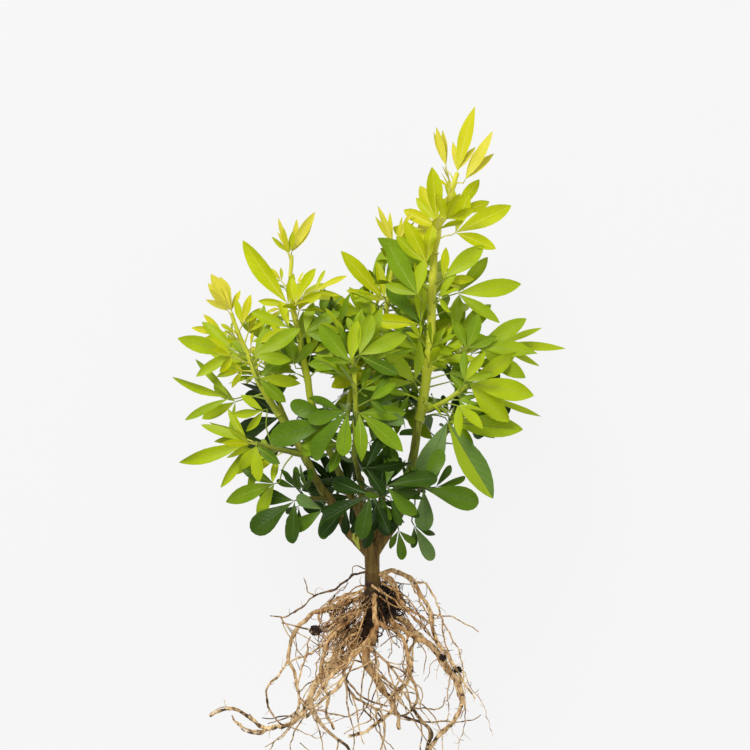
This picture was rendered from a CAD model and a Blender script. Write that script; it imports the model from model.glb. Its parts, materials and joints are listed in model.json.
"""Looks of a young Mexican orange blossom with bare roots, lying on its side on a pale floor.

The plan is in millimetres as seen from above: +X to the right, +Y from the roots to the tips, and +Z
up from the trunk's axis. The floor is AXIS_HEIGHT below that axis. Meshes are made in metres. The
limbs, shoots and leaves follow the rule and the random draws of the solids that they replace, and
finer leaves, stalks and roots grow on from them within the same reach.
"""

import json
import logging
import math
import random
from collections.abc import Callable
from dataclasses import KW_ONLY, dataclass, field, replace
from enum import Enum
from typing import NamedTuple

import bpy
import numpy as np
from mathutils import Matrix, Vector, noise
from mathutils.bvhtree import BVHTree

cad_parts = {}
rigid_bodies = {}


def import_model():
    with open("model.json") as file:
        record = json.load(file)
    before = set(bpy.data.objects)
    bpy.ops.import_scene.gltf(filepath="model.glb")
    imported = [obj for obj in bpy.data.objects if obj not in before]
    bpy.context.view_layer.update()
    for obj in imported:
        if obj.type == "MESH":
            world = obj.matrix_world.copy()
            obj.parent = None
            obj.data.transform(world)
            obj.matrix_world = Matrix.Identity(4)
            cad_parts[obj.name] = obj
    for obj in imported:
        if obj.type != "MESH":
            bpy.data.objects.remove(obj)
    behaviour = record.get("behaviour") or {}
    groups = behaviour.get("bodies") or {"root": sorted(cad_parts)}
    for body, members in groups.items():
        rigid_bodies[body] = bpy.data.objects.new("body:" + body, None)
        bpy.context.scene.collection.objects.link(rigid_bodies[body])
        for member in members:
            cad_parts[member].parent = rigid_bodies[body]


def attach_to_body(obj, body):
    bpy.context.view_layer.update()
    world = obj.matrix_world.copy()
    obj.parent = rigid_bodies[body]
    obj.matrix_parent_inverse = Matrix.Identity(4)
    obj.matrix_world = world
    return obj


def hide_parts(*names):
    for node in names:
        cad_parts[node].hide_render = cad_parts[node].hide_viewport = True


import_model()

log = logging.getLogger("shrub")

MM = 0.001
AXIS_HEIGHT = 112.0
CENTRE_X = -4.5
CENTRE_Y = 130.0
GAP = 0.3
UP = Vector((0, 0, 1))

# The photograph's frame: its width on the plane of the trunk's axis, and its centre in the plan.
FRAME_WIDTH = 675.0
FRAME_CENTRE = (0.0, 184.5)

# Trunk: its foot is the root stock, flared where the main roots leave.
TRUNK_ROUTE = ((-1, -40, 0), (-1, -24, 0), (-1.5, -8, 0), (-2.2, 4, 0), (-2.7, 18, 0), (-2.7, 31, 0))
TRUNK_RADII = (8.0, 12.5, 8.6, 7.3, 7.2, 7.6)
TRUNK_SIDES = 10

BOUGH_SIDES = 6
SHOOT_SIDES = 4
ROOT_SIDES = 5
ROOTLET_SIDES = 3
ROUTE_STEP = 18.0
STUB_MARGIN = 1.2
STRAIGHT_START = 2.5
STUB_SLANT = 0.35
STUB_ROOM = 1.1
STUB_GROWTH = 1.04

# A leaf: three blades from one hub, at the end of a slender stalk.
BLADE_THICKNESS = 0.9
HUB_RADIUS = 1.5
STALK_RADIUS = 0.85
BLADE_WIDTH = 0.34
BLADE_FOLD = 0.28
SIDE_BLADE = 0.86
NARROWEST = 1.08
CLEARANCE = 0.55
SHAPING_RIM = ((0.34, 0.72), (0.68, 0.94))
PLAIN_RIM = ((0.52, 0.96),)
RIB_AT = 0.53
BLADE_SHARE = 0.9

# Leaf pairs along a shoot, from its tip (young) to its foot (old).
FIRST_PAIR = 6.0
PAIR_STEP_YOUNG = 19.0
PAIR_STEP_OLD = 33.0
STALK_YOUNG = 9.0
STALK_OLD = 27.0
LEAN_YOUNG = 24.0
LEAN_OLD = 74.0
SPREAD_YOUNG = 26.0
SPREAD_OLD = 56.0
LEAF_PHASE = 60.0
LEAF_TRIES = 6
LEAF_REACH = 84.0
SHAPING_REACH = 115.0
STALK_MARGIN = 2.0
STALK_SWAY = 0.10
STALK_RANGE = (0.85, 1.25)
LENGTH_RANGE = (0.86, 1.1)
NECK = 4.0
NECK_LIFT = 0.5
SHORT_STALK = 12.0
SIDE_DROOP = 0.10
OLD_AT = 75.0
FOOT_MARGIN = 5.0
AZIMUTH_SPREAD = 22.0
LEAN_JITTER = 10.0
TURN_OUT = 22.0
YOUNG_WIDTH = 0.66
YOUNG_SPREAD = 30.0
FLOOR_MARGIN = 3.0
LEAST_SLANT = 0.25
MOST_FREE = 0.85

# How a leaf faces: towards the light and the shoot's tip, with some scatter.
LIGHT_WISH = 0.75
TIP_WISH = 0.5
WISH_SCATTER = 0.35
OUTLINE_TIP_WISH = 0.2
OUTLINE_SCATTER = 0.3
OUTLINE_FOOT = 0.6
OUTLINE_AGES = (0.1, 0.6)
FIRST_FOOT = 0.4

# The seed of the first mass of each kind, and how a limb's fine tube is sunk in what carries it.
FOLIAGE_SEED = 11
ROOTLET_SEED = 51
SUNK = 0.2
SWELLING = 1.06

# Where sky shows through the crown: (x, y, radius) in plan.
WINDOW_MARGIN = 3.0
BLADE_PLACES = (0.3, 0.6, 0.9)
SKY_WINDOWS = (
    (-95, 142, 10), (-68, 170, 8), (-52, 173, 7), (-76, 159, 8), (-41, 169, 6), (-120, 166, 8),
    (-92, 74, 8), (-103, 66, 7), (-50, 62, 7), (59, 176, 8), (-10, 129, 6), (-21, 273, 8),
    (-7, 291, 8), (-30, 282, 6), (-52, 297, 14), (-68, 287, 7), (-90, 291, 7), (-13, 301, 9),
    (-1, 310, 8), (92, 309, 7), (84, 304, 7), (76, 301, 7), (96, 253, 5), (112, 237, 7),
    (103, 280, 8), (86, 356, 6), (38, 328, 5), (33, 344, 9), (115, 188, 7), (34, 33, 6),
    (-165, 163, 7), (119, 111, 18), (69, 50, 18), (-148, 99, 10), (56, 68, 8),
)

# Rootlets: thin roots that wander down and outwards, within the spread of the root ball.
ROOTLET_STEP = 13.0
ROOTLET_STEPS = (4, 7)
ROOTLET_RADIUS = (0.85, 0.45)
ROOTLET_PULL = Vector((0, -0.45, 0))
ROOTLET_SWERVE = 0.34
ROOTLET_WANDER = 0.30
ROOTLET_AHEAD = 0.5
ROOTLET_STEER = 0.25
ROOTLET_FIRST = 0.6
ROOTLET_SHARE = 0.8
ROOTLET_FREE = 0.4
LEAST_POINTS = 4
ROOT_FLOOR = 1.0
ROOT_LEFT = -100.0
ROOT_RIGHT = 98.0
ROOT_FOOT = -166.0
ROOT_TOP = -4.0

# Where sky shows between the roots: (x, y, radius) in plan. Thin roots bend round these.
ROOT_WINDOWS = (
    (-85, -103, 12), (-82, -117, 9), (-81, -88, 6), (-58, -79, 6), (-59, -90, 4), (-66, -60, 4),
    (-62, -50, 5), (-57, -37, 4), (-45, -33, 5), (-53, -69, 4), (-42, -70, 4), (-38, -91, 5),
    (-47, -101, 4), (-62, -104, 4), (-31, -114, 9), (-24, -127, 9), (-12, -125, 9), (-52, -134, 4),
    (-5, -96, 7), (-14, -85, 3), (12, -60, 5), (22, -63, 6), (21, -76, 5), (7, -79, 4),
    (52, -106, 13), (50, -89, 9), (49, -121, 8), (59, -123, 5), (61, -99, 5), (44, -75, 5),
    (0, -147, 8), (-14, -150, 7), (12, -138, 7), (33, -138, 8), (35, -16, 5), (29, -6, 4),
    (48, -9, 4), (34, -23, 3), (56, -40, 4), (73, -73, 5), (73, -112, 5), (20, -36, 3),
    (-13, -2, 4), (-56, -20, 4), (-46, -16, 3), (-30, -12, 3), (76, -52, 8), (80, -25, 8),
)

Points = list[Vector]
Shell = tuple[list[Vector], list[tuple[int, ...]]]


# The plan: limbs, shoots and leaves, as in the solids.

@dataclass
class Tube:
    """A tapering stem: the points along its axis and the radius at each."""

    points: Points
    radii: list[float]
    sides: int

    def nearest(self, place: Vector) -> float:
        """The index along the axis, as a fraction, of the point nearest to a place.

        Args:
            place: The place.

        Returns:
            The index of the stem's nearest point.
        """
        best = (math.inf, 0.0)
        for index in range(len(self.points) - 1):
            start, end = self.points[index], self.points[index + 1]
            along = (place - start).dot(end - start) / (end - start).length_squared
            along = min(max(along, 0.0), 1.0)
            best = min(best, ((start.lerp(end, along) - place).length, index + along))
        return best[1]

    def at(self, index: float) -> tuple[Vector, Vector, float]:
        """The point, direction and radius at a fractional index.

        Args:
            index: The index, within a stretch or past its end.

        Returns:
            The point, the unit direction and the radius.
        """
        low = min(max(int(index), 0), len(self.points) - 2)
        part = min(max(index - low, 0.0), 1.0)
        heading = (self.points[low + 1] - self.points[low]).normalized()
        radius = self.radii[low] + (self.radii[low + 1] - self.radii[low]) * part
        return self.points[low].lerp(self.points[low + 1], part), heading, radius

    def back_from(self, index: float, distance: float) -> float:
        """The index that lies a distance further down the stem.

        Args:
            index: The index to start from.
            distance: The way to go down the stem, in millimetres.

        Returns:
            The index there, or 0 at the stem's foot.
        """
        while distance > 0 and index > 0:
            low = max(math.ceil(index) - 1, 0)
            step = (self.points[low + 1] - self.points[low]).length
            used = min(distance, (index - low) * step)
            index -= used / step
            distance -= used
            if index <= 0:
                return 0.0
            if used < 1e-6:
                index = float(low)
        return max(index, 0.0)

    def length(self) -> float:
        """The length along the axis."""
        pairs = zip(self.points, self.points[1:])
        return sum((end - start).length for start, end in pairs)


@dataclass
class Leaf:
    """One leaf of three blades: its hub, the way it points and faces, and its stalk's foot."""

    foot: Vector
    along: Vector
    stem_radius: float
    hub: Vector
    forward: Vector
    normal: Vector
    length: float
    spread: float
    width: float
    side: float = SIDE_BLADE
    shaping: bool = False
    age: float = 0.5

    def stalk(self) -> Points:
        """The stalk's points from the hub to the foot: it comes up to the hub from behind.

        Returns:
            The points.
        """
        if not self.shaping or (self.hub - self.foot).length < SHORT_STALK:
            return [self.hub, self.foot]
        neck = self.hub - (self.forward + self.normal * NECK_LIFT) * NECK
        sway = self.along * ((self.hub - self.foot).length * STALK_SWAY)
        return [self.hub, neck, self.foot.lerp(neck, 0.5) + sway, self.foot]


class Hub(NamedTuple):
    """A leaf that shapes the outline: where its three blades meet, and how the middle one points.

    heading is in degrees from +X in plan, rise in degrees towards +Z, spread the angle to each side
    blade, and side their share of the middle blade's length.
    """

    x: float
    y: float
    z: float
    heading: float
    length: float
    rise: float
    spread: float
    side: float = SIDE_BLADE


@dataclass
class Limb:
    """A bough or main root: one tapering limb."""

    name: str
    parent: str
    route: tuple
    radii: tuple
    _: KW_ONLY
    sides: int = BOUGH_SIDES
    tube: Tube = None
    foot: Vector = None
    stubs: list[Tube] = field(default_factory=list)

    def whole(self) -> Tube:
        """Its tube, carried back to the middle of what it grows from.

        Returns:
            The longer tube, a little swollen at its foot.
        """
        start = self.foot - (self.tube.points[0] - self.foot) * SUNK
        radii = [self.tube.radii[0] * SWELLING, *self.tube.radii]
        return Tube([start, *self.tube.points], radii, self.tube.sides)


@dataclass
class Mass(Limb):
    """A mass of foliage or rootlets: one stem, and what grows on it.

    tones are its leaves' places in AGES at its tip and where they are grown, leaf the lengths of
    its youngest and oldest blades, hubs the leaves that shape the outline, and fill whether the
    rule adds more. tries is how many rootlets are tried.
    """

    tones: tuple = ()
    leaf: tuple = (34.0, 54.0)
    fill: bool = True
    hubs: tuple = ()
    tries: int = 10
    seed: int = 0
    sides: int = field(default=SHOOT_SIDES, kw_only=True)
    rootlets: list[Tube] = field(default_factory=list)
    leaves: list[Leaf] = field(default_factory=list)


BOUGHS = (
    Limb("bough_left", "trunk", ((-4, 20, 0), (-26, 46, -3), (-37, 68, 0), (-50, 86, 4), (-61, 108, 8),
        (-73, 129, 10), (-86, 148, 12)), (4.3, 2.9)),
    Limb("bough_centre", "trunk", ((-3, 24, 2), (-12, 56, 14), (-26, 84, 16), (-38, 110, 16),
        (-48, 131, 16)), (4.0, 2.8)),
    Limb("bough_leader", "trunk", ((0, 21, 0), (19, 54, 0), (31.5, 99, 8), (39.6, 144, 12)),
        (4.7, 3.7)),
    Limb("bough_back", "trunk", ((-1, 20, -2), (4, 52, -24), (8, 92, -38), (12, 130, -44)), (3.9, 2.7)),
    Limb("bough_front", "bough_centre", ((-13, 58, 14), (-12, 84, 34), (-18, 110, 46)), (2.9, 2.3)),
    Limb("bough_back_left", "bough_left", ((-30, 55, -2), (-46, 76, -26), (-62, 104, -46)), (2.8, 2.2)),
    Limb("bough_back_right", "bough_leader", ((22, 66, 2), (40, 90, -22), (58, 120, -42)), (2.9, 2.2)),
)

MASSES = (
    Mass("foliage_leader_low", "bough_leader", ((39.6, 144, 12), (45, 174, 14), (49.5, 213, 14)),
        (3.7, 3.2), (2.2, 4.6), hubs=(Hub(65, 143, 28, -60, 80, 8, 54), Hub(72, 146, 6, -20, 40, 0, 44),
        Hub(24, 164, 26, 176, 44, 6, 50))),
    Mass("foliage_leader_middle", "foliage_leader_low", ((49.5, 213, 14), (51.3, 258, 13),
        (53, 292, 11)), (3.2, 2.7), (0.9, 3.2), hubs=(Hub(41, 230, 20, 133, 46, -5, 42),
        Hub(72, 221, 8, 38, 42, 2, 50), Hub(46, 285, 22, 112, 42, 6, 30),
        Hub(46, 276, 4, 142, 54, 0, 34, 0.6), Hub(38, 256, 42, 123, 54, -4, 40, 0.6),
        Hub(61, 271, 22, 38, 47, 6, 44, 0.6), Hub(74, 258, 14, 7, 58, 0, 46, 0.8))),
    Mass("foliage_leader_top", "foliage_leader_middle", ((53, 292, 11), (60, 326, 10), (68, 346, 9),
        (74, 366, 8)), (2.7, 1.6), (0.0, 1.3), fill=False, hubs=(Hub(74, 368, 8, 78, 60, 4, 20, 0.45),
        Hub(64, 373, -2, 103, 36, 4, 20, 0.9), Hub(81, 360, 16, 58, 50, 4, 24, 0.7),
        Hub(55, 322, 24, 93, 49, 4, 42, 0.6), Hub(72, 312, 20, 26, 56, 2, 46, 0.7),
        Hub(64, 324, 34, 58, 32, 40, 44), Hub(58, 318, -14, 112, 44, -18, 44),
        Hub(74, 330, -12, 62, 40, -22, 40), Hub(48, 300, -16, 150, 42, -24, 46))),
    Mass("foliage_right_high", "foliage_leader_low", ((46, 188, 14), (68, 199, 14), (90, 209, 12)),
        (2.0, 1.4), (2.2, 3.7), leaf=(38.0, 46.0), hubs=(Hub(92, 210, 26, -3, 54, 4, 30, 0.95),
        Hub(112, 212, 4, -3, 60, -4, 26, 0.7), Hub(82, 208, 28, 66, 34, 10, 44))),
    Mass("foliage_right_low", "foliage_leader_low", ((40, 152, 12), (62, 161, 24), (82, 175, 28)),
        (2.0, 1.4), (3.0, 4.0), leaf=(36.0, 44.0), hubs=(Hub(84, 177, 36, -7, 59, 4, 38),
        Hub(80, 179, 44, 58, 32, 12, 36), Hub(98, 166, 14, -21, 56, -6, 28, 0.7))),
    Mass("foliage_right_foot", "bough_leader", ((29, 90, 7), (38, 84, 26), (44, 80, 36)), (2.0, 1.4),
        (6.2, 7.4), leaf=(34.0, 44.0), hubs=(Hub(43, 83, 44, -10, 52, -4, 72, 0.75),
        Hub(30, 106, 52, -102, 42, -4, 50, 0.7), Hub(35, 50, 34, -58, 36, -10, 34, 0.6),
        Hub(21, 46, 42, -80, 27, -4, 36, 0.7))),
    Mass("foliage_back_centre", "bough_back", ((12, 130, -44), (12, 180, -36), (9, 226, -26),
        (14, 268, -22), (20, 298, -20)), (2.7, 1.3), (0.9, 2.7),
        hubs=(Hub(12, 224, -12, 160, 54, 6, 30), Hub(9, 252, -26, 132, 60, 4, 34, 0.6),
        Hub(-6, 232, -34, 150, 54, -4, 34, 0.7), Hub(16, 304, -24, 112, 36, 4, 26, 0.8),
        Hub(21, 303, -20, 72, 32, 6, 26, 0.8))),
    Mass("foliage_centre_low", "bough_centre", ((-48, 131, 16), (-57, 158, 16), (-61, 184, 16),
        (-67, 214, 15)), (2.8, 2.3), (2.8, 5.0), hubs=(Hub(-62, 222, 30, 38, 36, 4, 50),
        Hub(-72, 194, 26, 104, 34, 4, 56, 0.8))),
    Mass("foliage_centre_high", "foliage_centre_low", ((-67, 214, 15), (-73, 243, 13), (-76, 272, 10),
        (-75, 292, 8)), (2.3, 1.3), (0.0, 2.3), leaf=(26.0, 40.0),
        hubs=(Hub(-75, 295, 8, 63, 42, 4, 26, 0.72), Hub(-80, 299, -4, 104, 28, 2, 20, 0.6),
        Hub(-78, 248, 24, 129, 70, 2, 46, 0.4), Hub(-71, 248, 28, 64, 37, 6, 44, 0.7),
        Hub(-54, 260, 8, 30, 32, 4, 40, 0.7), Hub(-77, 227, 40, 156, 36, 0, 50, 0.8))),
    Mass("foliage_left_high", "bough_left", ((-86, 148, 12), (-98, 168, 14), (-107, 185, 14),
        (-113, 199, 12), (-122, 220, 10), (-129, 240, 8)), (2.9, 1.3), (0.0, 2.2), leaf=(26.0, 40.0),
        hubs=(Hub(-129, 242, 8, 118, 38, 4, 30), Hub(-119, 230, 20, 74, 28, 8, 34, 0.8),
        Hub(-124, 206, 20, 173, 54, 2, 36, 0.8), Hub(-108, 202, 46, 28, 48, 4, 38, 0.7),
        Hub(-130, 164, 14, 166, 55, 0, 38, 0.85), Hub(-104, 182, 30, -4, 38, 6, 44))),
    Mass("foliage_left_low", "bough_left", ((-64, 112, 8), (-88, 118, 20), (-110, 124, 24)), (2.0, 1.4),
        (2.0, 3.7), leaf=(36.0, 44.0), hubs=(Hub(-113, 124, 28, 199, 66, -3, 44, 0.72),
        Hub(-100, 153, 34, 192, 28, 6, 44), Hub(-90, 87, 20, 196, 47, -4, 42, 0.75),
        Hub(-106, 121, 42, -84, 32, 6, 50))),
    Mass("foliage_left_foot", "bough_left", ((-40, 74, 0), (-56, 74, 12), (-70, 73, 18)), (1.9, 1.4),
        (6.2, 7.5), leaf=(34.0, 42.0), hubs=(Hub(-72, 72, 24, 218, 48, -4, 50, 0.8),
        Hub(-46, 64, 26, 214, 34, 0, 56, 0.8))),
    Mass("foliage_front_middle", "bough_front", ((-18, 110, 46), (-17, 150, 52), (-19, 190, 50),
        (-22, 216, 46)), (2.3, 1.4), (3.3, 5.1), hubs=(Hub(-14, 151, 68, -40, 52, 4, 46),
        Hub(-24, 153, 78, 230, 54, -8, 34, 0.75), Hub(-36, 144, 60, 193, 61, -4, 30, 0.7),
        Hub(-22, 196, 66, 132, 44, 2, 50), Hub(-14, 202, 66, 24, 46, 2, 50))),
    Mass("foliage_middle", "bough_centre", ((-37, 107, 16), (-26, 140, -4), (-22, 184, -10),
        (-36, 212, -8), (-46, 232, -4)), (2.2, 1.4), (3.6, 6.3)),
    Mass("foliage_front_foot", "bough_front", ((-12, 74, 28), (2, 78, 48), (8, 82, 60)), (1.9, 1.4),
        (6.8, 8.2), leaf=(38.0, 46.0), hubs=(Hub(10, 86, 68, 14, 46, -4, 62, 0.8),
        Hub(-4, 78, 70, 208, 50, -6, 48, 0.8), Hub(-4, 62, 48, -96, 34, -8, 44, 0.8),
        Hub(-8, 102, 72, 4, 42, 0, 60, 0.7), Hub(-26, 66, 50, 228, 34, -6, 44, 0.7))),
    Mass("foliage_back_left_low", "bough_back_left", ((-62, 104, -46), (-76, 132, -56),
        (-88, 160, -60)), (2.2, 1.7), (5.2, 7.0), hubs=(Hub(-86, 146, -84, 196, 52, -33, 46),)),
    Mass("foliage_back_left_high", "foliage_back_left_low", ((-88, 160, -60), (-98, 190, -60),
        (-104, 214, -56)), (1.7, 1.2), (1.7, 3.6)),
    Mass("foliage_back_right_low", "bough_back_right", ((58, 120, -42), (70, 144, -54), (78, 168, -58)),
        (2.2, 1.7), (5.2, 7.0), hubs=(Hub(84, 160, -84, -12, 52, -33, 46),)),
    Mass("foliage_back_right_high", "foliage_back_right_low", ((78, 168, -58), (82, 196, -58),
        (80, 228, -52)), (1.7, 1.2), (2.8, 4.4)),
    Mass("foliage_back_foot", "bough_back", ((7, 82, -34), (-14, 78, -58), (-30, 84, -72)), (2.0, 1.4),
        (7.0, 8.2), hubs=(Hub(-34, 82, -90, 214, 46, -29, 46),)),
    Mass("foliage_back_crown", "foliage_back_centre", ((11, 208, -30), (0, 236, -58), (6, 268, -68)),
        (1.5, 1.1), (1.8, 3.6), leaf=(34.0, 48.0), hubs=(Hub(2, 262, -90, 84, 48, -28, 46),)),
)

ROOTS = (
    Limb("root_left_long", "trunk", ((-3, -34, 0), (-24, -68, 0), (-36, -79, -4), (-51, -92, -10),
        (-60, -109, -16), (-68, -124, -22), (-84, -133, -28), (-101, -134, -34), (-116, -125, -40),
        (-133, -119, -44), (-150, -125, -48)), (3.8, 1.1)),
    Limb("root_centre", "trunk", ((0, -32, 2), (-3, -48, 13), (-9, -64, 20), (-6, -78, 18),
        (4, -94, 12), (15, -108, 8), (20, -122, 4), (22, -134, 0)), (3.2, 1.8)),
    Limb("root_right", "trunk", ((2, -26, 1), (22, -43, 6), (36, -52, 8), (52, -60, 8), (65, -77, 4),
        (77, -96, 0), (80, -112, -4), (73, -127, -8), (58, -142, -12), (44, -160, -16)), (2.5, 1.8)),
    Limb("root_right_arch", "trunk", ((-2, 3, 0), (18, 8, 4), (31, 2, 8), (40, -11, 10), (48, -28, 13),
        (52, -42, 16), (58, -56, 18), (66, -70, 17), (75, -84, 13), (84, -97, 8), (90, -106, 4)),
        (2.3, 0.7)),
    Limb("root_left_hoop", "trunk", ((-4, -14, 0), (-27, -20, 6), (-43, -26, 8), (-59, -32, 8),
        (-70, -44, 6), (-75, -58, 2), (-77, -72, -2), (-73, -86, -6), (-69, -100, -2)), (2.6, 1.3)),
    Limb("root_left_thin", "trunk", ((-2, 6, 0), (-20, 3, 8), (-36, -8, 14), (-54, -13, 18),
        (-66, -25, 18), (-77, -31, 16)), (1.7, 0.8)),
    Limb("root_back_left", "trunk", ((-2, -24, -3), (-14, -42, -30), (-27, -62, -60), (-44, -84, -86),
        (-57, -104, -104), (-62, -120, -110.6)), (3.5, 1.5)),
    Limb("root_back_right", "trunk", ((1, -20, -3), (20, -36, -32), (42, -54, -62), (62, -77, -90),
        (75, -98, -106), (78, -112, -110.6)), (3.4, 1.5)),
    Limb("root_front", "trunk", ((-1, -8, 3), (-1, -20, 21), (1, -30, 30), (2, -39, 33), (-5, -51, 35),
        (-14, -61, 36), (-24, -73, 34), (-36, -82, 30), (-46, -92, 26), (-54, -105, 20),
        (-58, -113, 16)), (2.3, 1.3)),
    Limb("root_mid_left", "trunk", ((-3, -22, 3), (-20, -32, 15), (-34, -43, 20), (-43, -57, 21),
        (-48, -73, 19), (-47, -90, 13), (-44, -107, 9), (-43, -121, 7), (-37, -134, 5)), (2.4, 1.1)),
    Limb("root_mid_right", "trunk", ((3, -34, 2), (16, -45, 14), (26, -57, 20), (31, -72, 22),
        (28, -88, 20), (22, -102, 17), (15, -115, 16), (5, -126, 13), (-8, -136, 10), (-24, -140, 8)),
        (2.0, 1.5)),
    Limb("root_back_low", "trunk", ((-1, -34, -2), (-4, -56, -28), (-7, -76, -46), (4, -94, -58),
        (14, -110, -66), (19, -126, -72)), (2.8, 1.2)),
)

ROOT_MASSES = (
    Mass("rootlets_left", "root_left_hoop", ((-69, -100, -2), (-68, -112, 1), (-71, -124, 3)),
        (1.3, 0.9)),
    Mass("rootlets_left_low", "root_left_long", ((-59, -108, -16), (-55, -119, -13), (-48, -130, -10),
        (-38, -141, -8), (-26, -149, -6), (-19, -158, -6)), (1.9, 1.3)),
    Mass("rootlets_far_left", "root_left_thin", ((-77, -31, 16), (-85, -32, 12), (-94, -32, 6)),
        (0.8, 0.6), tries=4),
    Mass("rootlets_centre", "root_front", ((-26, -75, 33), (-28, -86, 26), (-24, -97, 20),
        (-15, -106, 18), (-4, -112, 18), (5, -116, 19)), (1.5, 1.0)),
    Mass("rootlets_right", "root_right", ((36, -53, 8), (31, -67, -2), (31, -83, -8), (37, -96, -8),
        (38, -108, -8), (35, -116, -8), (42, -127, -8), (49, -137, -8), (47, -150, -10)), (1.4, 1.2)),
    Mass("rootlets_far_right", "root_right_arch", ((49, -31, 14), (59, -32, 19), (70, -33, 21),
        (79, -38, 21), (87, -41, 19), (93, -46, 17)), (0.8, 0.5), tries=3),
    Mass("rootlets_back", "root_back_left", ((-20, -52, -45), (-10, -66, -62), (-4, -86, -80),
        (8, -104, -92), (16, -120, -100)), (1.4, 0.8)),
    Mass("rootlets_heart", "root_front", ((-8, -54, 35), (0, -62, 40), (11, -73, 38), (20, -84, 34),
        (27, -95, 30), (31, -106, 26), (32, -115, 22)), (1.2, 0.7), tries=18),
)


# Shapes of stems.

def smooth_steps(route: Points, step: float) -> list[tuple[int, float, Vector]]:
    """The points of a smooth curve through a route, about one step apart, after the first.

    Args:
        route: The route's own points.
        step: The distance wanted between two points of the curve.

    Returns:
        For each point, the number of its stretch of the route, its share of it, and its place.
    """
    padded = [route[0] * 2 - route[1], *route, route[-1] * 2 - route[-2]]
    steps = []
    for index in range(len(route) - 1):
        before, start, end, after = padded[index:index + 4]
        count = max(1, round((end - start).length / step))
        for turn in range(1, count + 1):
            part = turn / count
            square = part * part
            point = 0.5 * (
                2 * start
                + (end - before) * part
                + (2 * before - 5 * start + 4 * end - after) * square
                + (3 * start - before - 3 * end + after) * (square * part)
            )
            steps.append((index, part, point))
    return steps


def taper(points: Points, first: float, last: float) -> list[float]:
    """Radii that fall evenly along a route."""
    steps = max(len(points) - 1, 1)
    return [first + (last - first) * index / steps for index in range(steps + 1)]


def square_to(direction: Vector) -> Vector:
    """Any unit vector square to a direction, the same one each time."""
    helper = UP if abs(direction.z) < 0.9 else Vector((1, 0, 0))
    return direction.cross(helper).normalized()


def ring_frames(points: Points) -> list[tuple[Vector, Vector]]:
    """A direction and a side vector for each point, turned as little as possible between points.

    Args:
        points: The points along a stem's axis.

    Returns:
        For each point, the unit direction and the unit side vector.
    """
    frames = []
    side = None
    for index in range(len(points)):
        before = points[max(index - 1, 0)]
        after = points[min(index + 1, len(points) - 1)]
        direction = (after - before).normalized()
        side = square_to(direction) if side is None else side - direction * side.dot(direction)
        side = side.normalized()
        frames.append((direction, side))
    return frames


def tube_shell(tube: Tube, grow: float = 0.0) -> Shell:
    """The plain closed surface of a tapering stem, for the test that keeps things apart.

    Args:
        tube: The stem.
        grow: What its radius is grown by.

    Returns:
        Its points and faces.
    """
    verts = []
    faces = []
    sides = tube.sides
    for (direction, side), point, radius in zip(ring_frames(tube.points), tube.points, tube.radii):
        other = direction.cross(side)
        for turn in range(sides):
            angle = math.tau * turn / sides
            spoke = side * math.cos(angle) + other * math.sin(angle)
            verts.append(point + spoke * (radius + grow))
    for row in range(len(tube.points) - 1):
        for turn in range(sides):
            low = row * sides + turn
            low_next = row * sides + (turn + 1) % sides
            faces.append((low, low_next, low_next + sides, low + sides))
    last = (len(tube.points) - 1) * sides
    faces.append(tuple(reversed(range(sides))))
    faces.append(tuple(range(last, last + sides)))
    return verts, faces


def attach(child: Limb, parent: Limb) -> None:
    """Gives a limb or mass its own tube, 0.3 mm clear of its parent, and the parent a stub for it.

    Where the child's route starts at the parent's tip, it goes straight on from it with no stub.

    Args:
        child: The limb or mass, whose tube and foot are set.
        parent: What it grows from.
    """
    route = [Vector(point) for point in child.route]
    base_radius, tip_radius = child.radii
    reach = 0.0
    if child.route[0] == parent.route[-1]:
        foot = parent.tube.points[-1]
        heading = (foot - parent.tube.points[-2]).normalized()
    else:
        foot, along, radius = parent.tube.at(parent.tube.nearest(route[0]))
        heading = (route[1] - foot).normalized()
        slant = max(heading.cross(along).length, STUB_SLANT)
        reach = (radius + base_radius * STUB_ROOM + STUB_MARGIN) / slant
        stub = Tube([foot, foot + heading * reach], [base_radius * STUB_GROWTH] * 2, child.sides)
        parent.stubs.append(stub)
    start = foot + heading * (reach + GAP)
    steps = smooth_steps([start, start + heading * STRAIGHT_START, *route[1:]], ROUTE_STEP)
    points = [start, *(point for _, _, point in steps)]
    child.tube = Tube(points, taper(points, base_radius, tip_radius), child.sides)
    child.foot = foot


# Shapes of leaves, for the test that keeps them apart.

def above_floor(start: Vector, direction: Vector, length: float) -> Vector:
    """Turns a direction up where a blade of this length would reach below the floor.

    Args:
        start: Where the blade starts.
        direction: The way it points.
        length: Its length.

    Returns:
        The direction, turned up just as far as it needs.
    """
    lowest = -AXIS_HEIGHT
    if start.z + direction.z * length >= lowest:
        return direction
    rise = max(-0.99, min(0.99, (lowest - start.z) / length))
    flat = Vector((direction.x, direction.y, 0)).normalized()
    return flat * math.sqrt(1 - rise * rise) + UP * rise


def blade_axes(leaf: Leaf) -> list[tuple[Vector, float]]:
    """The direction and length of the right, middle and left blades, in that order.

    Args:
        leaf: The leaf.

    Returns:
        Each blade's unit direction and its length.
    """
    blades = []
    for turn, size in zip((-1, 0, 1), (leaf.side, 1.0, leaf.side)):
        spin = Matrix.Rotation(math.radians(leaf.spread * turn), 3, leaf.normal)
        direction = spin @ leaf.forward
        direction = (direction - leaf.normal * SIDE_DROOP * abs(turn)).normalized()
        length = leaf.length * size
        blades.append((above_floor(leaf.hub, direction, length), length))
    return blades


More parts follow.
